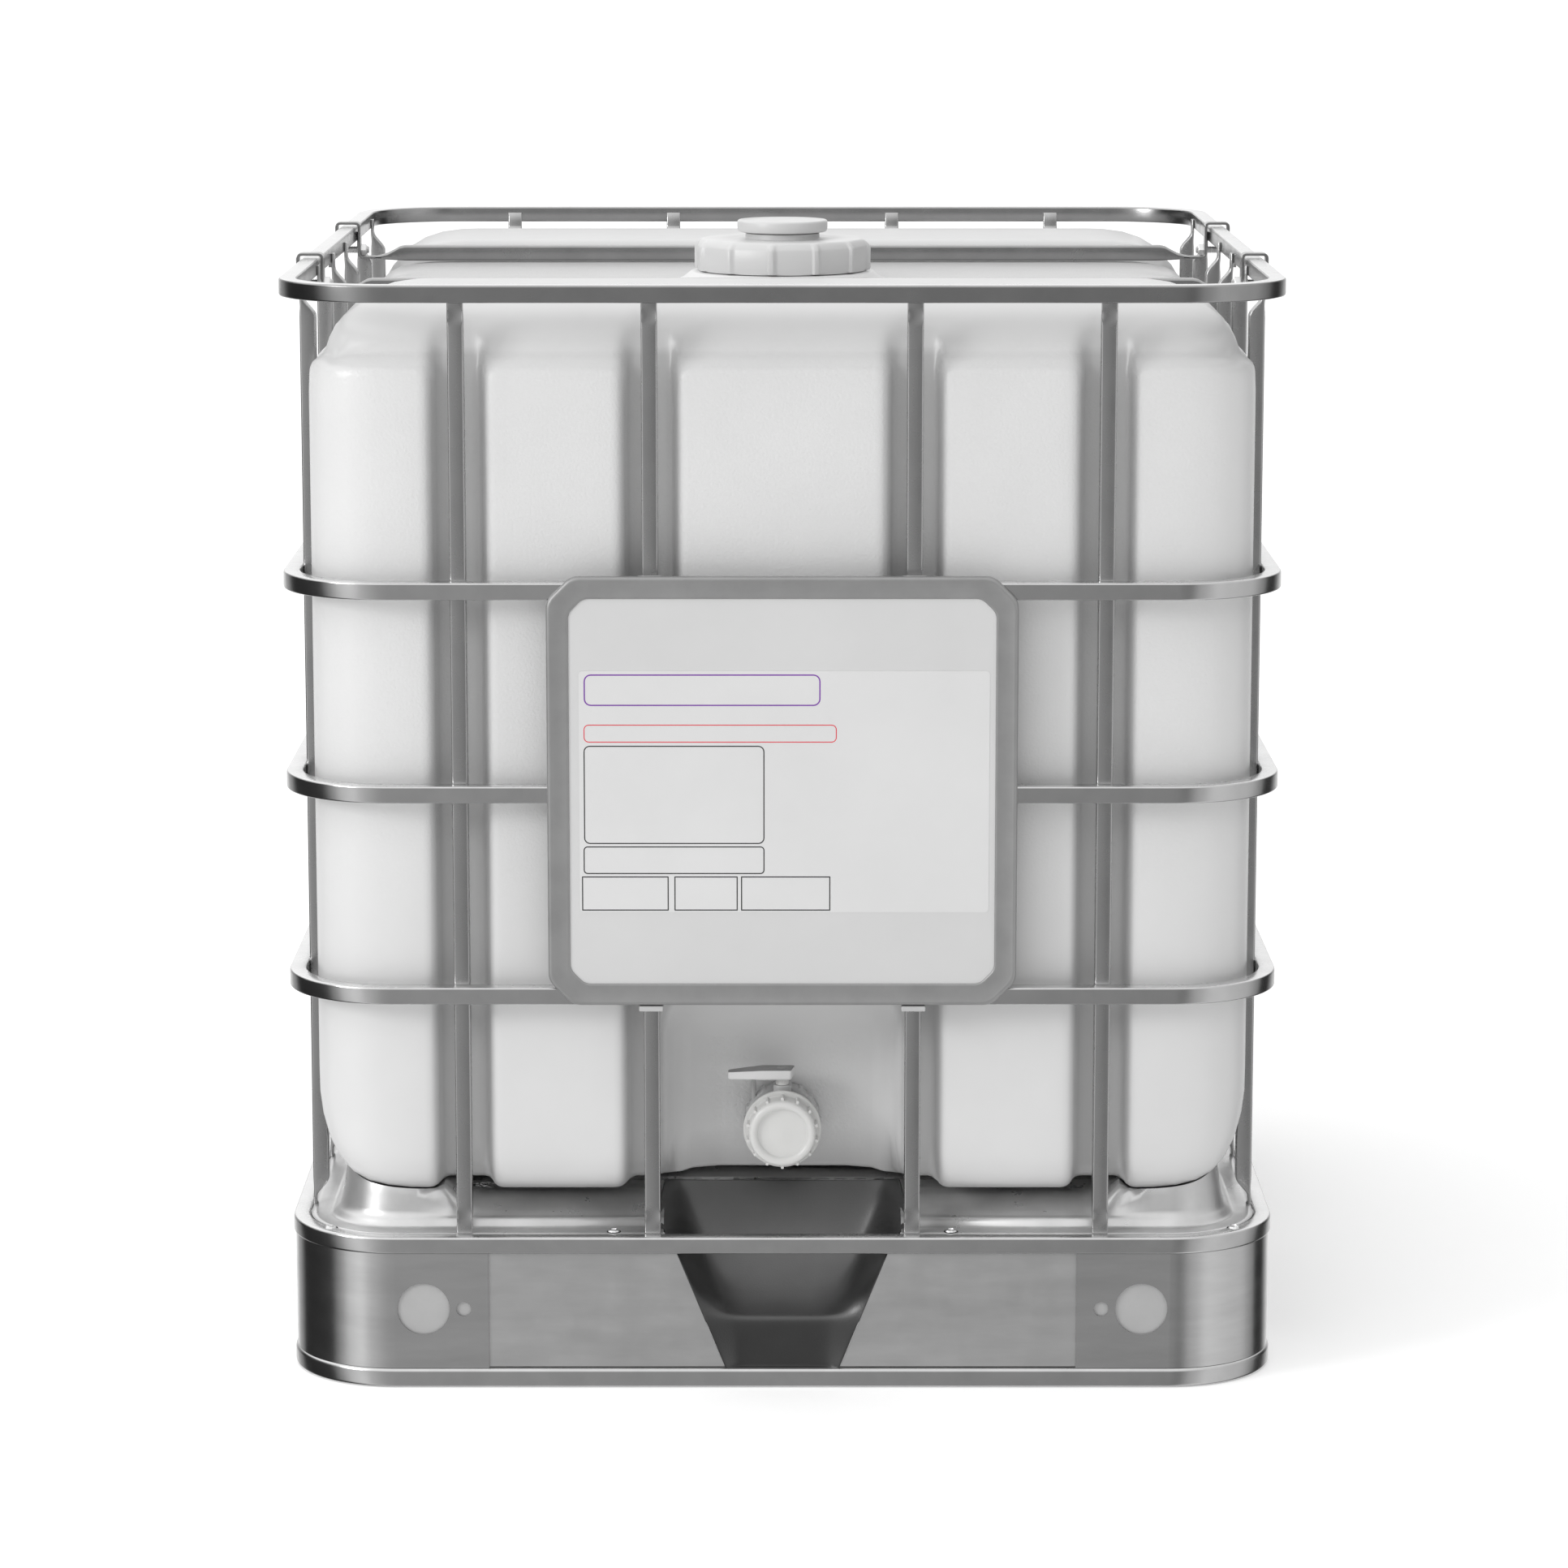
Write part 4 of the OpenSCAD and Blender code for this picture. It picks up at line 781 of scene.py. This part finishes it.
def strip(path, width, thick):
    """A flat strip along a path of (x, z) points, about y = 0."""
    left, right = [], []
    for i, (x, z) in enumerate(path):
        a, b = path[max(i - 1, 0)], path[min(i + 1, len(path) - 1)]
        dx, dz = b[0] - a[0], b[1] - a[1]
        length = hypot(dx, dz)
        nx, nz = -dz / length * thick / 2, dx / length * thick / 2
        left.append((x + nx, z + nz))
        right.append((x - nx, z - nz))
    loops = []
    for (ax, az), (bx, bz) in zip(left, right):
        loops.append([(ax, -width / 2, az), (bx, -width / 2, bz), (bx, width / 2, bz), (ax, width / 2, az)])
    return skin(loops)


def tie_half():
    """Half of a tie bar along +X: the tube, its pressed end and the hook over the rail."""
    loops = []
    for x, top, width in (
            (0, TIE_Z1, TIE_TUBE), (TIE_END - 34, TIE_Z1, TIE_TUBE), (TIE_END - 28, TIE_Z1 - 1.2, TIE_TUBE),
            (TIE_END - 22, TIE_Z1 - 4.5, TIE_TUBE + 0.4), (TIE_END - 14, TIE_Z1 - 8.6, STRIP_W),
            (TIE_END - 6, STRIP_Z + FLAT + 1, STRIP_W), (TIE_END, STRIP_Z + FLAT, STRIP_W)):
        share = max(0, (x - TIE_END + 34) / 34) if x > 0 else 0
        low = TIE_Z0 + 2 * share
        ring = rounded_rect(width, top - low, min(2.4, (top - low) * 0.4), 3, 0, (top + low) / 2)
        loops.append([(x, y, z) for y, z in ring])
    mid = STRIP_Z + FLAT / 2
    x_in, x_out = HOOK_IN + FLAT / 2, HOOK_OUT - FLAT / 2
    z_top = TOP_Z + GAP + FLAT / 2
    bent = rounded_profile([(TIE_END - 8, mid), (x_in, mid), (x_in, z_top), (x_out, z_top),
                            (x_out, BOLT_Z - 8)], 4.5, 5)
    return join([skin(loops), strip(bent, STRIP_W, FLAT)])


half_bar = tie_half()
whole_bar = join([half_bar, mirrored(half_bar, lambda p: (-p[0], p[1], p[2]))])
for end, y in (("front", -TIE_Y), ("rear", TIE_Y)):
    bar = moved(whole_bar, lambda p, y=y: (p[0], p[1] + y, p[2]))
    tube_piece(f"{end}_tie_rod", bar, f"{end}_tie_bar", shaded_top_steel, bevel=0.7)


def threaded(r, length, pitch):
    """A shank along Z with rounded thread ridges."""
    profile = [(0.01, 0), (r - 0.8, 0)]
    for i in range(int(length / pitch)):
        z = i * pitch
        profile += [(r + a, z + b * pitch) for a, b in ((-0.75, 0.1), (0, 0.45), (0, 0.6), (-0.75, 1))]
    return lathe(profile + [(r - 0.8, length), (0.01, length)], 24)


inner_end, nut_end = HOOK_IN - 9, HOOK_IN - 5.6
shank = threaded(BOLT_R, HOOK_OUT - inner_end, 1.6)
head = lathe([(0.01, 0), (7, 0), (7, 1.4), (6.2, 2.5), (4.4, 3), (0.01, 3)], 32)
nut = prism([(7 * cos(radians(60 * i)), 7 * sin(radians(60 * i))) for i in range(6)], 0, 5.4)
dome = lathe([(0.01, -3), (2.2, -2.7), (4.2, -1.7), (5.4, -0.2), (5.6, 0.4), (0.01, 0.4)], 24)
bolts, nuts = [], []
for sx in SIDES:
    for sy in SIDES:
        def place(start, sx=sx, sy=sy):
            return lambda p: (sx * (start + p[2]), sy * TIE_Y + p[0], BOLT_Z + p[1])
        turn = moved if sx > 0 else mirrored
        bolts += [turn(shank, place(inner_end)), turn(head, place(HOOK_OUT))]
        nuts += [turn(nut, place(nut_end)), turn(dome, place(nut_end))]
piece("clamp_bolts", *join(bolts), zinc, "container", "zinc_bolt", ("tie_bolts",), angle=28)
piece("clamp_nuts", *join(nuts), zinc, "container", "zinc_bolt", ("tie_nuts",), angle=28)

# ---------------------------------------------------------------- label plate
plate_lo, plate_hi = cad("label_plate")
PLATE_X, PLATE_Z0, PLATE_Z1 = plate_hi[0], plate_lo[2], plate_hi[2]
PLATE_Y = -plate_lo[1]    # its front, as a distance in front of the middle
BORDER = 22


def plate_outline(inset, cut, r, steps=5):
    """The plate's outline as (x, z) points with its corners cut and eased."""
    x, z0, z1 = PLATE_X - inset, PLATE_Z0 + inset, PLATE_Z1 - inset
    outline = [(x, z0 + cut), (x, z1 - cut), (x - cut, z1), (-x + cut, z1),
               (-x, z1 - cut), (-x, z0 + cut), (-x + cut, z0), (x - cut, z0)]
    return closed_rounded(outline, r, steps)


def at_depth(outline, y):
    """An (x, z) outline as points at a distance y in front of the middle."""
    return [(x, -y, z) for x, z in outline]


# From the back of the rim over its rounded front to the border's inner edge, and back
plate_loops = [at_depth(plate_outline(inset, cut, r), y) for inset, cut, r, y in (
    (0.6, 24.4, 8, CAGE_Y), (0, 24.5, 8, CAGE_Y + 0.8), (0, 24.5, 8, PLATE_Y - 3.6),
    (0.4, 24.3, 8, PLATE_Y - 1.8), (1.6, 23.8, 8, PLATE_Y - 0.5), (3.2, 23.2, 8, PLATE_Y),
    (4.4, 22.8, 8, PLATE_Y - 0.25), (5.4, 22.4, 8, PLATE_Y - 0.7), (BORDER - 3, 15.5, 6, PLATE_Y - 0.7),
    (BORDER - 1.6, 15, 6, PLATE_Y - 0.45), (BORDER - 0.4, 14.6, 6, PLATE_Y - 0.9),
    (BORDER, 14.4, 6, PLATE_Y - 2.1), (BORDER, 14.4, 6, PLATE_Y - 2.6), (6, 22, 8, PLATE_Y - 2.6),
    (1.6, 23.6, 8, PLATE_Y - 3.4), (1.6, 23.6, 8, CAGE_Y))]
piece("plate_frame", *turned(ring_skin(plate_loops)), plate_steel, "container", "plate_steel",
      ("label_plate",), angle=60)
PANEL_Y = PLATE_Y - 2.2    # the panel's front, and its thickness
PANEL_T = 1.5
panel = skin([at_depth(plate_outline(4, 22, 8), y) for y in (PANEL_Y, PANEL_Y - PANEL_T)])
piece("plate_panel", *panel, panel_paint, "container", "panel_paint", ("label_panel",), angle=60)

SHEET_X, SHEET_Z0, SHEET_Z1 = 202.5, 490.5, 732.4
label = rounded_rect(2 * SHEET_X, SHEET_Z1 - SHEET_Z0, 4, 4, 2, (SHEET_Z0 + SHEET_Z1) / 2)
film = skin([at_depth(label, PANEL_Y), at_depth(label, PANEL_Y + 0.25)])
piece("label_film", *turned(film), label_film, "container", "label_film", ("label_sheet",), angle=60)


def printed(name, ink_colour, frames, line):
    """Blank printed frames on the label, each (x0, x1, z0, z1, corner radius), of one line width."""
    lighter = tuple(c * 1.15 for c in ink_colour[:3]) + (1,)
    ink = moulded(name, ink_colour, lighter, (0.5, 0.6), 0.00001, 300)
    near, far = PANEL_Y + 0.2, PANEL_Y + 0.34
    parts = []
    for x0, x1, z0, z1, r in frames:
        cx, cz = (x0 + x1) / 2, (z0 + z1) / 2
        outer = rounded_rect(x1 - x0, z1 - z0, r, 5, cx, cz)
        inner = rounded_rect(x1 - x0 - 2 * line, z1 - z0 - 2 * line, max(r - line, 0.1), 5, cx, cz)
        loops = [at_depth(outer, near), at_depth(outer, far), at_depth(inner, far), at_depth(inner, near)]
        parts.append(turned(ring_skin(loops)))
    piece(name, *join(parts), ink, "container", "label_film", angle=60)


printed("title_frame", (0.16, 0.03, 0.3, 1), [(-195.6, 37.7, 697.6, 729.1, 7)], 1.3)
printed("notice_frame", (0.6, 0.02, 0.04, 1), [(-195.9, 53.7, 661.1, 679, 5)], 0.9)
printed("field_frames", (0.02, 0.02, 0.02, 1),
        [(-196.1, -17.6, 559.3, 657.9, 6), (-196.7, -17.6, 529, 556.9, 4),
         *((*edges, 492.1, 526.6, 0.3) for edges in ((-198.5, -112.6), (-106.9, -44.2), (-40.9, 47.6)))], 1.1)

CLIP_W, CLIP_H = 24, 5.4
clip_parts = []
for sx in SIDES:
    x0 = sx * END_POSTS[2] - CLIP_W / 2
    for z0, y1 in ((PLATE_Z0 - 1 - CLIP_H, PLATE_Y - 1), (rail_hi[2], PLATE_Y - 4)):
        clip_parts.append(block((x0, -y1, z0), (x0 + CLIP_W, -RAIL_IN_Y - 1, z0 + CLIP_H)))
piece("retaining_clips", *join(clip_parts), clip_plastic, "container", "clip_plastic", ("plate_clips",),
      bevel=1.2, steps=3)

# ---------------------------------------------------------------- pan under the bottle
FLANGE_Z = 155.4              # the flange's height
NOTCH_X = MOUTH_TOP + 15      # half the gap for the chute
CUP_Z, CUP_REACH = 233, 85    # highest point of the corner cups, and how far they run along a side
STEP, SLOPE, CUP_RISE = 9.5, 15.5, 70


def ease(v):
    """A smooth step from 0 to 1."""
    v = min(1, max(0, v))
    return v * v * (3 - 2 * v)


def underside(x, y):
    """Height of the bottle's underside above each point of two arrays."""
    z = np.full(len(x), FLANGE_Z)
    for _ in range(40):
        z = np.minimum(z + np.maximum(bottle_distance(x, y, z) - 1.5, 0) * 0.8, CUP_Z)
    return z


def pan_surface():
    """Rings of points from the flange inwards, with raised corners and a gap for the chute."""
    # Rings lie closest where the pan bends
    insets = [TUBE + 0.5, 24, 32, *range(37, 50, 2), *range(52, 71, 3), 74, 78, 84, 92, 101, 106]
    steps, run = 18, [85, 72, 60, 48, 38, 28, 19, 10]
    points, rises = [], []
    for inset in insets:
        r = max(CORNER - inset, 4)
        cx, cy = CAGE_X - inset - r, CAGE_Y - inset - r
        points.append((NOTCH_X, -CAGE_Y + inset, inset))
        rises.append(0)
        for sx, sy, start in ((1, -1, 270), (1, 1, 0), (-1, 1, 90), (-1, -1, 180)):
            a, b = radians(start), radians(start + 90)
            turns = [(a, -d) for d in run] + [(a + (b - a) * i / steps, 0) for i in range(steps + 1)]
            turns += [(b, d) for d in run[::-1]]
            corner = [(sx * cx + r * cos(c) - d * sin(c), sy * cy + r * sin(c) + d * cos(c), abs(d))
                      for c, d in turns]
            points.extend((x, y, inset) for x, y, _ in corner)
            rises.extend(1 - ease(d / CUP_REACH) for _, _, d in corner)
        points.append((-NOTCH_X, -CAGE_Y + inset, inset))
        rises.append(0)
    x, y, inset = np.array(points).T
    ceiling = underside(x, y)
    rim = [FLANGE_Z + STEP * ease((v - 38) / 9) for v in inset]
    plain = [low + SLOPE * min(1, max(0, (v - 50) / 40)) for low, v in zip(rim, inset)]
    cup = [low + CUP_RISE * ease((v - 46) / 16) for low, v in zip(rim, inset)]
    z = [min(p + rise * (c - p), top) for p, c, rise, top in zip(plain, cup, rises, ceiling)]
    n = len(points) // len(insets)
    loops = [[(x[i], y[i], z[i]) for i in range(k * n, k * n + n)] for k in range(len(insets))]
    verts, faces = skin(loops, closed=False)
    last = (len(loops) - 1) * n
    faces.append([last + i for i in range(n)])
    return verts, faces


def thicken(obj, wall):
    """Gives a surface a wall behind it."""
    solid = obj.modifiers.new("wall", "SOLIDIFY")
    solid.thickness = wall * MM
    solid.offset = -1


pan = piece("base_tray", *pan_surface(), pan_steel, "container", "pan_steel", ("base_pan",), angle=60)
thicken(pan, 1.2)

screw_top = lathe([(0.01, -1), (6, -1), (6, 0.6), (5.2, 2), (3.6, 2.9), (3, 3), (2.3, 1.4), (0.01, 1.2)], 10)
screw_rim = ring_lathe([(5.6, -0.6), (7.2, -0.6), (7.2, 0.5), (5.6, 0.5)], 24)
screw_parts, washers = [], []
for sx in SIDES:
    for sy in SIDES:
        for x, y in ((457, CAGE_Y - 40), (170, CAGE_Y - 25)):
            def seat(p, x=sx * x, y=sy * y):
                return x + p[0], y + p[1], FLANGE_Z + p[2]
            screw_parts.append(moved(screw_top, seat))
            washers.append(moved(screw_rim, seat))
piece("tray_washers", *join(washers), seal_rubber, "container", "seal_rubber")
piece("tray_screws", *join(screw_parts), zinc, "container", "zinc_bolt", ("pan_screws",), angle=20)

# ---------------------------------------------------------------- drip chute
CHUTE_Z0 = RUNNER_Z - 1
LIP_Z = 70    # the fold between the floor and the front face


def mouth(z):
    """Half of the mouth's width at height z, below the foot rail."""
    return MOUTH_LOW + (MOUTH_TOP - MOUTH_LOW) * (z - CHUTE_Z0) / (FOOT_Z - CHUTE_Z0)


def chute_rows():
    """Rows of control points over half the scoop, from its foot at the front to its back.

    A row runs from the edge to the middle; y is a distance in front of the middle.
    """
    side = 0.16    # how far up the side wall its lower fold lies
    rows = []
    for z, y_mid, y_edge, flat in ((CHUTE_Z0, 590, 596, 40), (CHUTE_Z0 + 3, 591, 597, 41), (44, 591, 597, 42),
                                   (LIP_Z - 6, 591, 597, 45)):
        edge = mouth(z)
        rows.append([(edge, y_edge, z), (edge - 2, y_edge, z), (flat + 9, y_mid + 2, z), (flat, y_mid, z),
                     (flat * 0.5, y_mid, z), (0, y_mid, z)])
    for floor_y, floor_z, half, edge_x, edge_y, edge_z in (
            (589, LIP_Z + 1, 46, mouth(LIP_Z + 4), 597, LIP_Z + 4), (580, LIP_Z + 5, 50, mouth(84), 597, 84),
            (562, 84, 58, mouth(112), 597, 112), (541, 102, 70, mouth(136), 596, 136),
            (524, 129, 80, 112, 581, 150), (511, 160, 91, 124, 560, 158), (503, 182, 97, 124, 530, 176),
            (500, 190, 98, 119, 503, 192)):
        fold = (half + (edge_x - half) * side + 3, floor_y + (edge_y - floor_y) * side,
                floor_z + (edge_z - floor_z) * side + 1)
        rows.append([(edge_x, edge_y, edge_z), (edge_x - 1.5, edge_y - 1, edge_z - 0.5), fold,
                     (half - 4, floor_y, floor_z), (half * 0.5, floor_y, floor_z), (0, floor_y, floor_z)])
    return rows


chute_loops = []
for row in chute_rows():
    right = [(x, -y, z) for x, y, z in row]
    left = [(-x, y, z) for x, y, z in right[:-1]]
    chute_loops.append(left + right[::-1])
chute = piece("drip_chute", *skin(chute_loops, closed=False), chute_plastic, "container", "chute_plastic",
              ("chute",), angle=180)
# The scoop's floor is painted lighter along its middle, most of all near its lower end: a painted sheen of
# the light from above on the glossy floor
FLOOR_SHEEN = (1, 1, 1, 1, 3, 8, 14, 13, 8, 5, 3, 2)
ACROSS = (0, 0, 0.1, 0.6, 1, 1, 1, 0.6, 0.1, 0, 0)
paint(chute, "painted_light", [1 + (sheen - 1) * share for sheen in FLOOR_SHEEN for share in ACROSS])
paint(chute, "grain", np.ones(len(chute.data.vertices)))
sub = chute.modifiers.new("smooth", "SUBSURF")
sub.levels = sub.render_levels = 3
sub.boundary_smooth = "PRESERVE_CORNERS"
thicken(chute, 2.4)

# Plates of the posts' steel stand behind the skirts' holes
hole_back = []
for sx in SIDES:
    x0, x1 = sorted((sx * 308, sx * 398))
    for sy in SIDES:
        y0, y1 = sorted((sy * (CAGE_Y - 5.8), sy * (CAGE_Y - 4.6)))
        hole_back.append(block((x0, y0, 46), (x1, y1, 116)))
piece("hole_plates", *join(hole_back), hole_steel, "container", "skirt_steel", bevel=0.3)

# ---------------------------------------------------------------- CAD parts that stay, with their finish
for nodes, finish in (
        (("lid_seal", "vent_seal", "valve_flange_seal", "valve_seat", "outlet_cap_seal"), seal_rubber),
        (("valve_disc",), valve_plastic),
        (("front_left_skirt", "front_right_skirt", "rear_left_skirt", "rear_right_skirt"), skirt_steel),
        (("front_panels",), front_steel),
        (("corner_posts", "middle_feet", "deck_beams"), inner_steel)):
    for node in nodes:
        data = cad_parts[node].data
        data.materials.clear()
        data.materials.append(finish)

# ---------------------------------------------------------------- floor, light and camera
FAR = 30    # the floor runs this far each way, in metres
floor_mesh = bpy.data.meshes.new("floor")
floor_mesh.from_pydata([(-FAR, -FAR, 0), (FAR, -FAR, 0), (FAR, FAR, 0), (-FAR, FAR, 0)], [], [(0, 1, 2, 3)])
floor = bpy.data.objects.new("floor", floor_mesh)
scene.collection.objects.link(floor)
floor_finish = Nodes("floor_finish")
floor_finish.tint(floor_finish.noise(2), 0.86, 0.87)
floor_finish.shader.inputs["Roughness"].default_value = 0.9
floor_finish.shader.inputs["Emission Color"].default_value = grey(1)
floor_finish.shader.inputs["Emission Strength"].default_value = 0.26
floor_finish.shader.inputs["Specular IOR Level"].default_value = 0.1
floor_mesh.materials.append(floor_finish.material)
floor.location.z = -0.0005
floor.visible_glossy = False

world = bpy.data.worlds.new("studio")
scene.world = world
world.use_nodes = True
tree = world.node_tree
tree.nodes.clear()


def math(op, *values):
    """A Math node from numbers and sockets."""
    node = tree.nodes.new("ShaderNodeMath")
    node.operation = op
    for socket, value in zip(node.inputs, values):
        if isinstance(value, (int, float)):
            socket.default_value = value
        else:
            tree.links.new(value, socket)
    return node.outputs[0]


def ranged(value, lo, hi, to_lo=0.0, to_hi=1.0, way="LINEAR"):
    """A Map Range node on a socket."""
    node = tree.nodes.new("ShaderNodeMapRange")
    node.interpolation_type = way
    for key, v in zip(("From Min", "From Max", "To Min", "To Max"), (lo, hi, to_lo, to_hi)):
        node.inputs[key].default_value = v
    tree.links.new(value, node.inputs["Value"])
    return node.outputs["Result"]


def mixed(factor, a):
    """A colour Mix node with its first colour linked."""
    node = tree.nodes.new("ShaderNodeMix")
    node.data_type = "RGBA"
    tree.links.new(factor, node.inputs["Factor"])
    tree.links.new(a, node.inputs["A"])
    return node


direction = tree.nodes.new("ShaderNodeTexCoord").outputs["Generated"]
split = tree.nodes.new("ShaderNodeSeparateXYZ")
tree.links.new(direction, split.inputs[0])
dx, dy, dz = split.outputs
level = math("SQRT", math("ADD", math("MULTIPLY", dx, dx), math("MULTIPLY", dy, dy)))
around = math("DIVIDE", dy, math("MAXIMUM", level, 0.001))
FULL = 3                     # light that a ramp's white stands for
TOP_LIGHT = 2.85             # light from above
LEFT, RIGHT = 1.638, 0.882   # strength of it all from the left and from the right
# Light round the horizon, from the front (0) by the sides to the back (1). The second row is
# what glossy surfaces see on the right.
STUDIO = ((0.0, 0.95), (0.06, 1.3), (0.13, 1.95), (0.21, 1.6), (0.31, 0.7), (0.41, 0.08), (0.8, 0.06),
          (0.91, 0.9), (1.0, 2.5))
STUDIO_RIGHT = ((0.0, 0.9), (0.015, 0.6), (0.06, 1.6), (0.16, 2.6), (0.5, 2.3), (0.68, 1.2), (0.74, 0.1),
                (0.84, 0.1), (1.0, 2.5))


def studio_ramp(table, spot_socket):
    """A ramp's colour from (spot, light) pairs."""
    node = tree.nodes.new("ShaderNodeValToRGB")
    node.color_ramp.interpolation = "EASE"
    for spot, value in table[1:-1]:
        node.color_ramp.elements.new(spot)
    for element, (spot, value) in zip(node.color_ramp.elements, table):
        element.position = spot
        element.color = grey(value / FULL)
    tree.links.new(spot_socket, node.inputs["Fac"])
    return node.outputs["Color"]


place = ranged(around, -1, 1)
paths = tree.nodes.new("ShaderNodeLightPath")
on_right = math("MULTIPLY", ranged(dx, 0, 0.08), paths.outputs["Is Glossy Ray"])
sides = mixed(on_right, studio_ramp(STUDIO, place))
tree.links.new(studio_ramp(STUDIO_RIGHT, place), sides.inputs["B"])
blend = mixed(ranged(dz, 0.22, 0.62, way="SMOOTHSTEP"), sides.outputs["Result"])
blend.inputs["B"].default_value = grey(TOP_LIGHT / FULL)
light = tree.nodes.new("ShaderNodeBackground")
tree.links.new(blend.outputs["Result"], light.inputs["Color"])
tree.links.new(ranged(dx, -1, 1, LEFT, RIGHT), light.inputs["Strength"])
# The camera sees plain white behind the object
plain = tree.nodes.new("ShaderNodeBackground")
plain.inputs["Color"].default_value = grey(1)
plain.inputs["Strength"].default_value = 1.6
choose = tree.nodes.new("ShaderNodeMixShader")
tree.links.new(paths.outputs["Is Camera Ray"], choose.inputs["Fac"])
tree.links.new(light.outputs[0], choose.inputs[1])
tree.links.new(plain.outputs[0], choose.inputs[2])
tree.links.new(choose.outputs[0], tree.nodes.new("ShaderNodeOutputWorld").inputs["Surface"])


def softbox(name, place, target, size, power):
    """A rectangular area light at a place, turned towards a target."""
    lamp = bpy.data.lights.new(name, "AREA")
    lamp.shape = "RECTANGLE"
    lamp.size, lamp.size_y = size
    lamp.energy = power
    obj = bpy.data.objects.new(name, lamp)
    scene.collection.objects.link(obj)
    obj.location = place
    obj.rotation_euler = (Vector(target) - Vector(place)).to_track_quat("-Z", "Y").to_euler()


softbox("key_left", (-4.4, -3.4, 2.6), (0, 0, 0.6), (1.6, 1.6), 95)

scene.view_settings.view_transform = "Standard"

camera = bpy.data.objects.new("camera", bpy.data.cameras.new("camera"))
scene.collection.objects.link(camera)
camera.data.lens = 119.34
camera.data.sensor_width = 36
camera.location = (0.0017, -5.6619, 1.5111)
camera.rotation_euler = (radians(80), 0, 0)
camera.data.clip_end = 200
scene.camera = camera
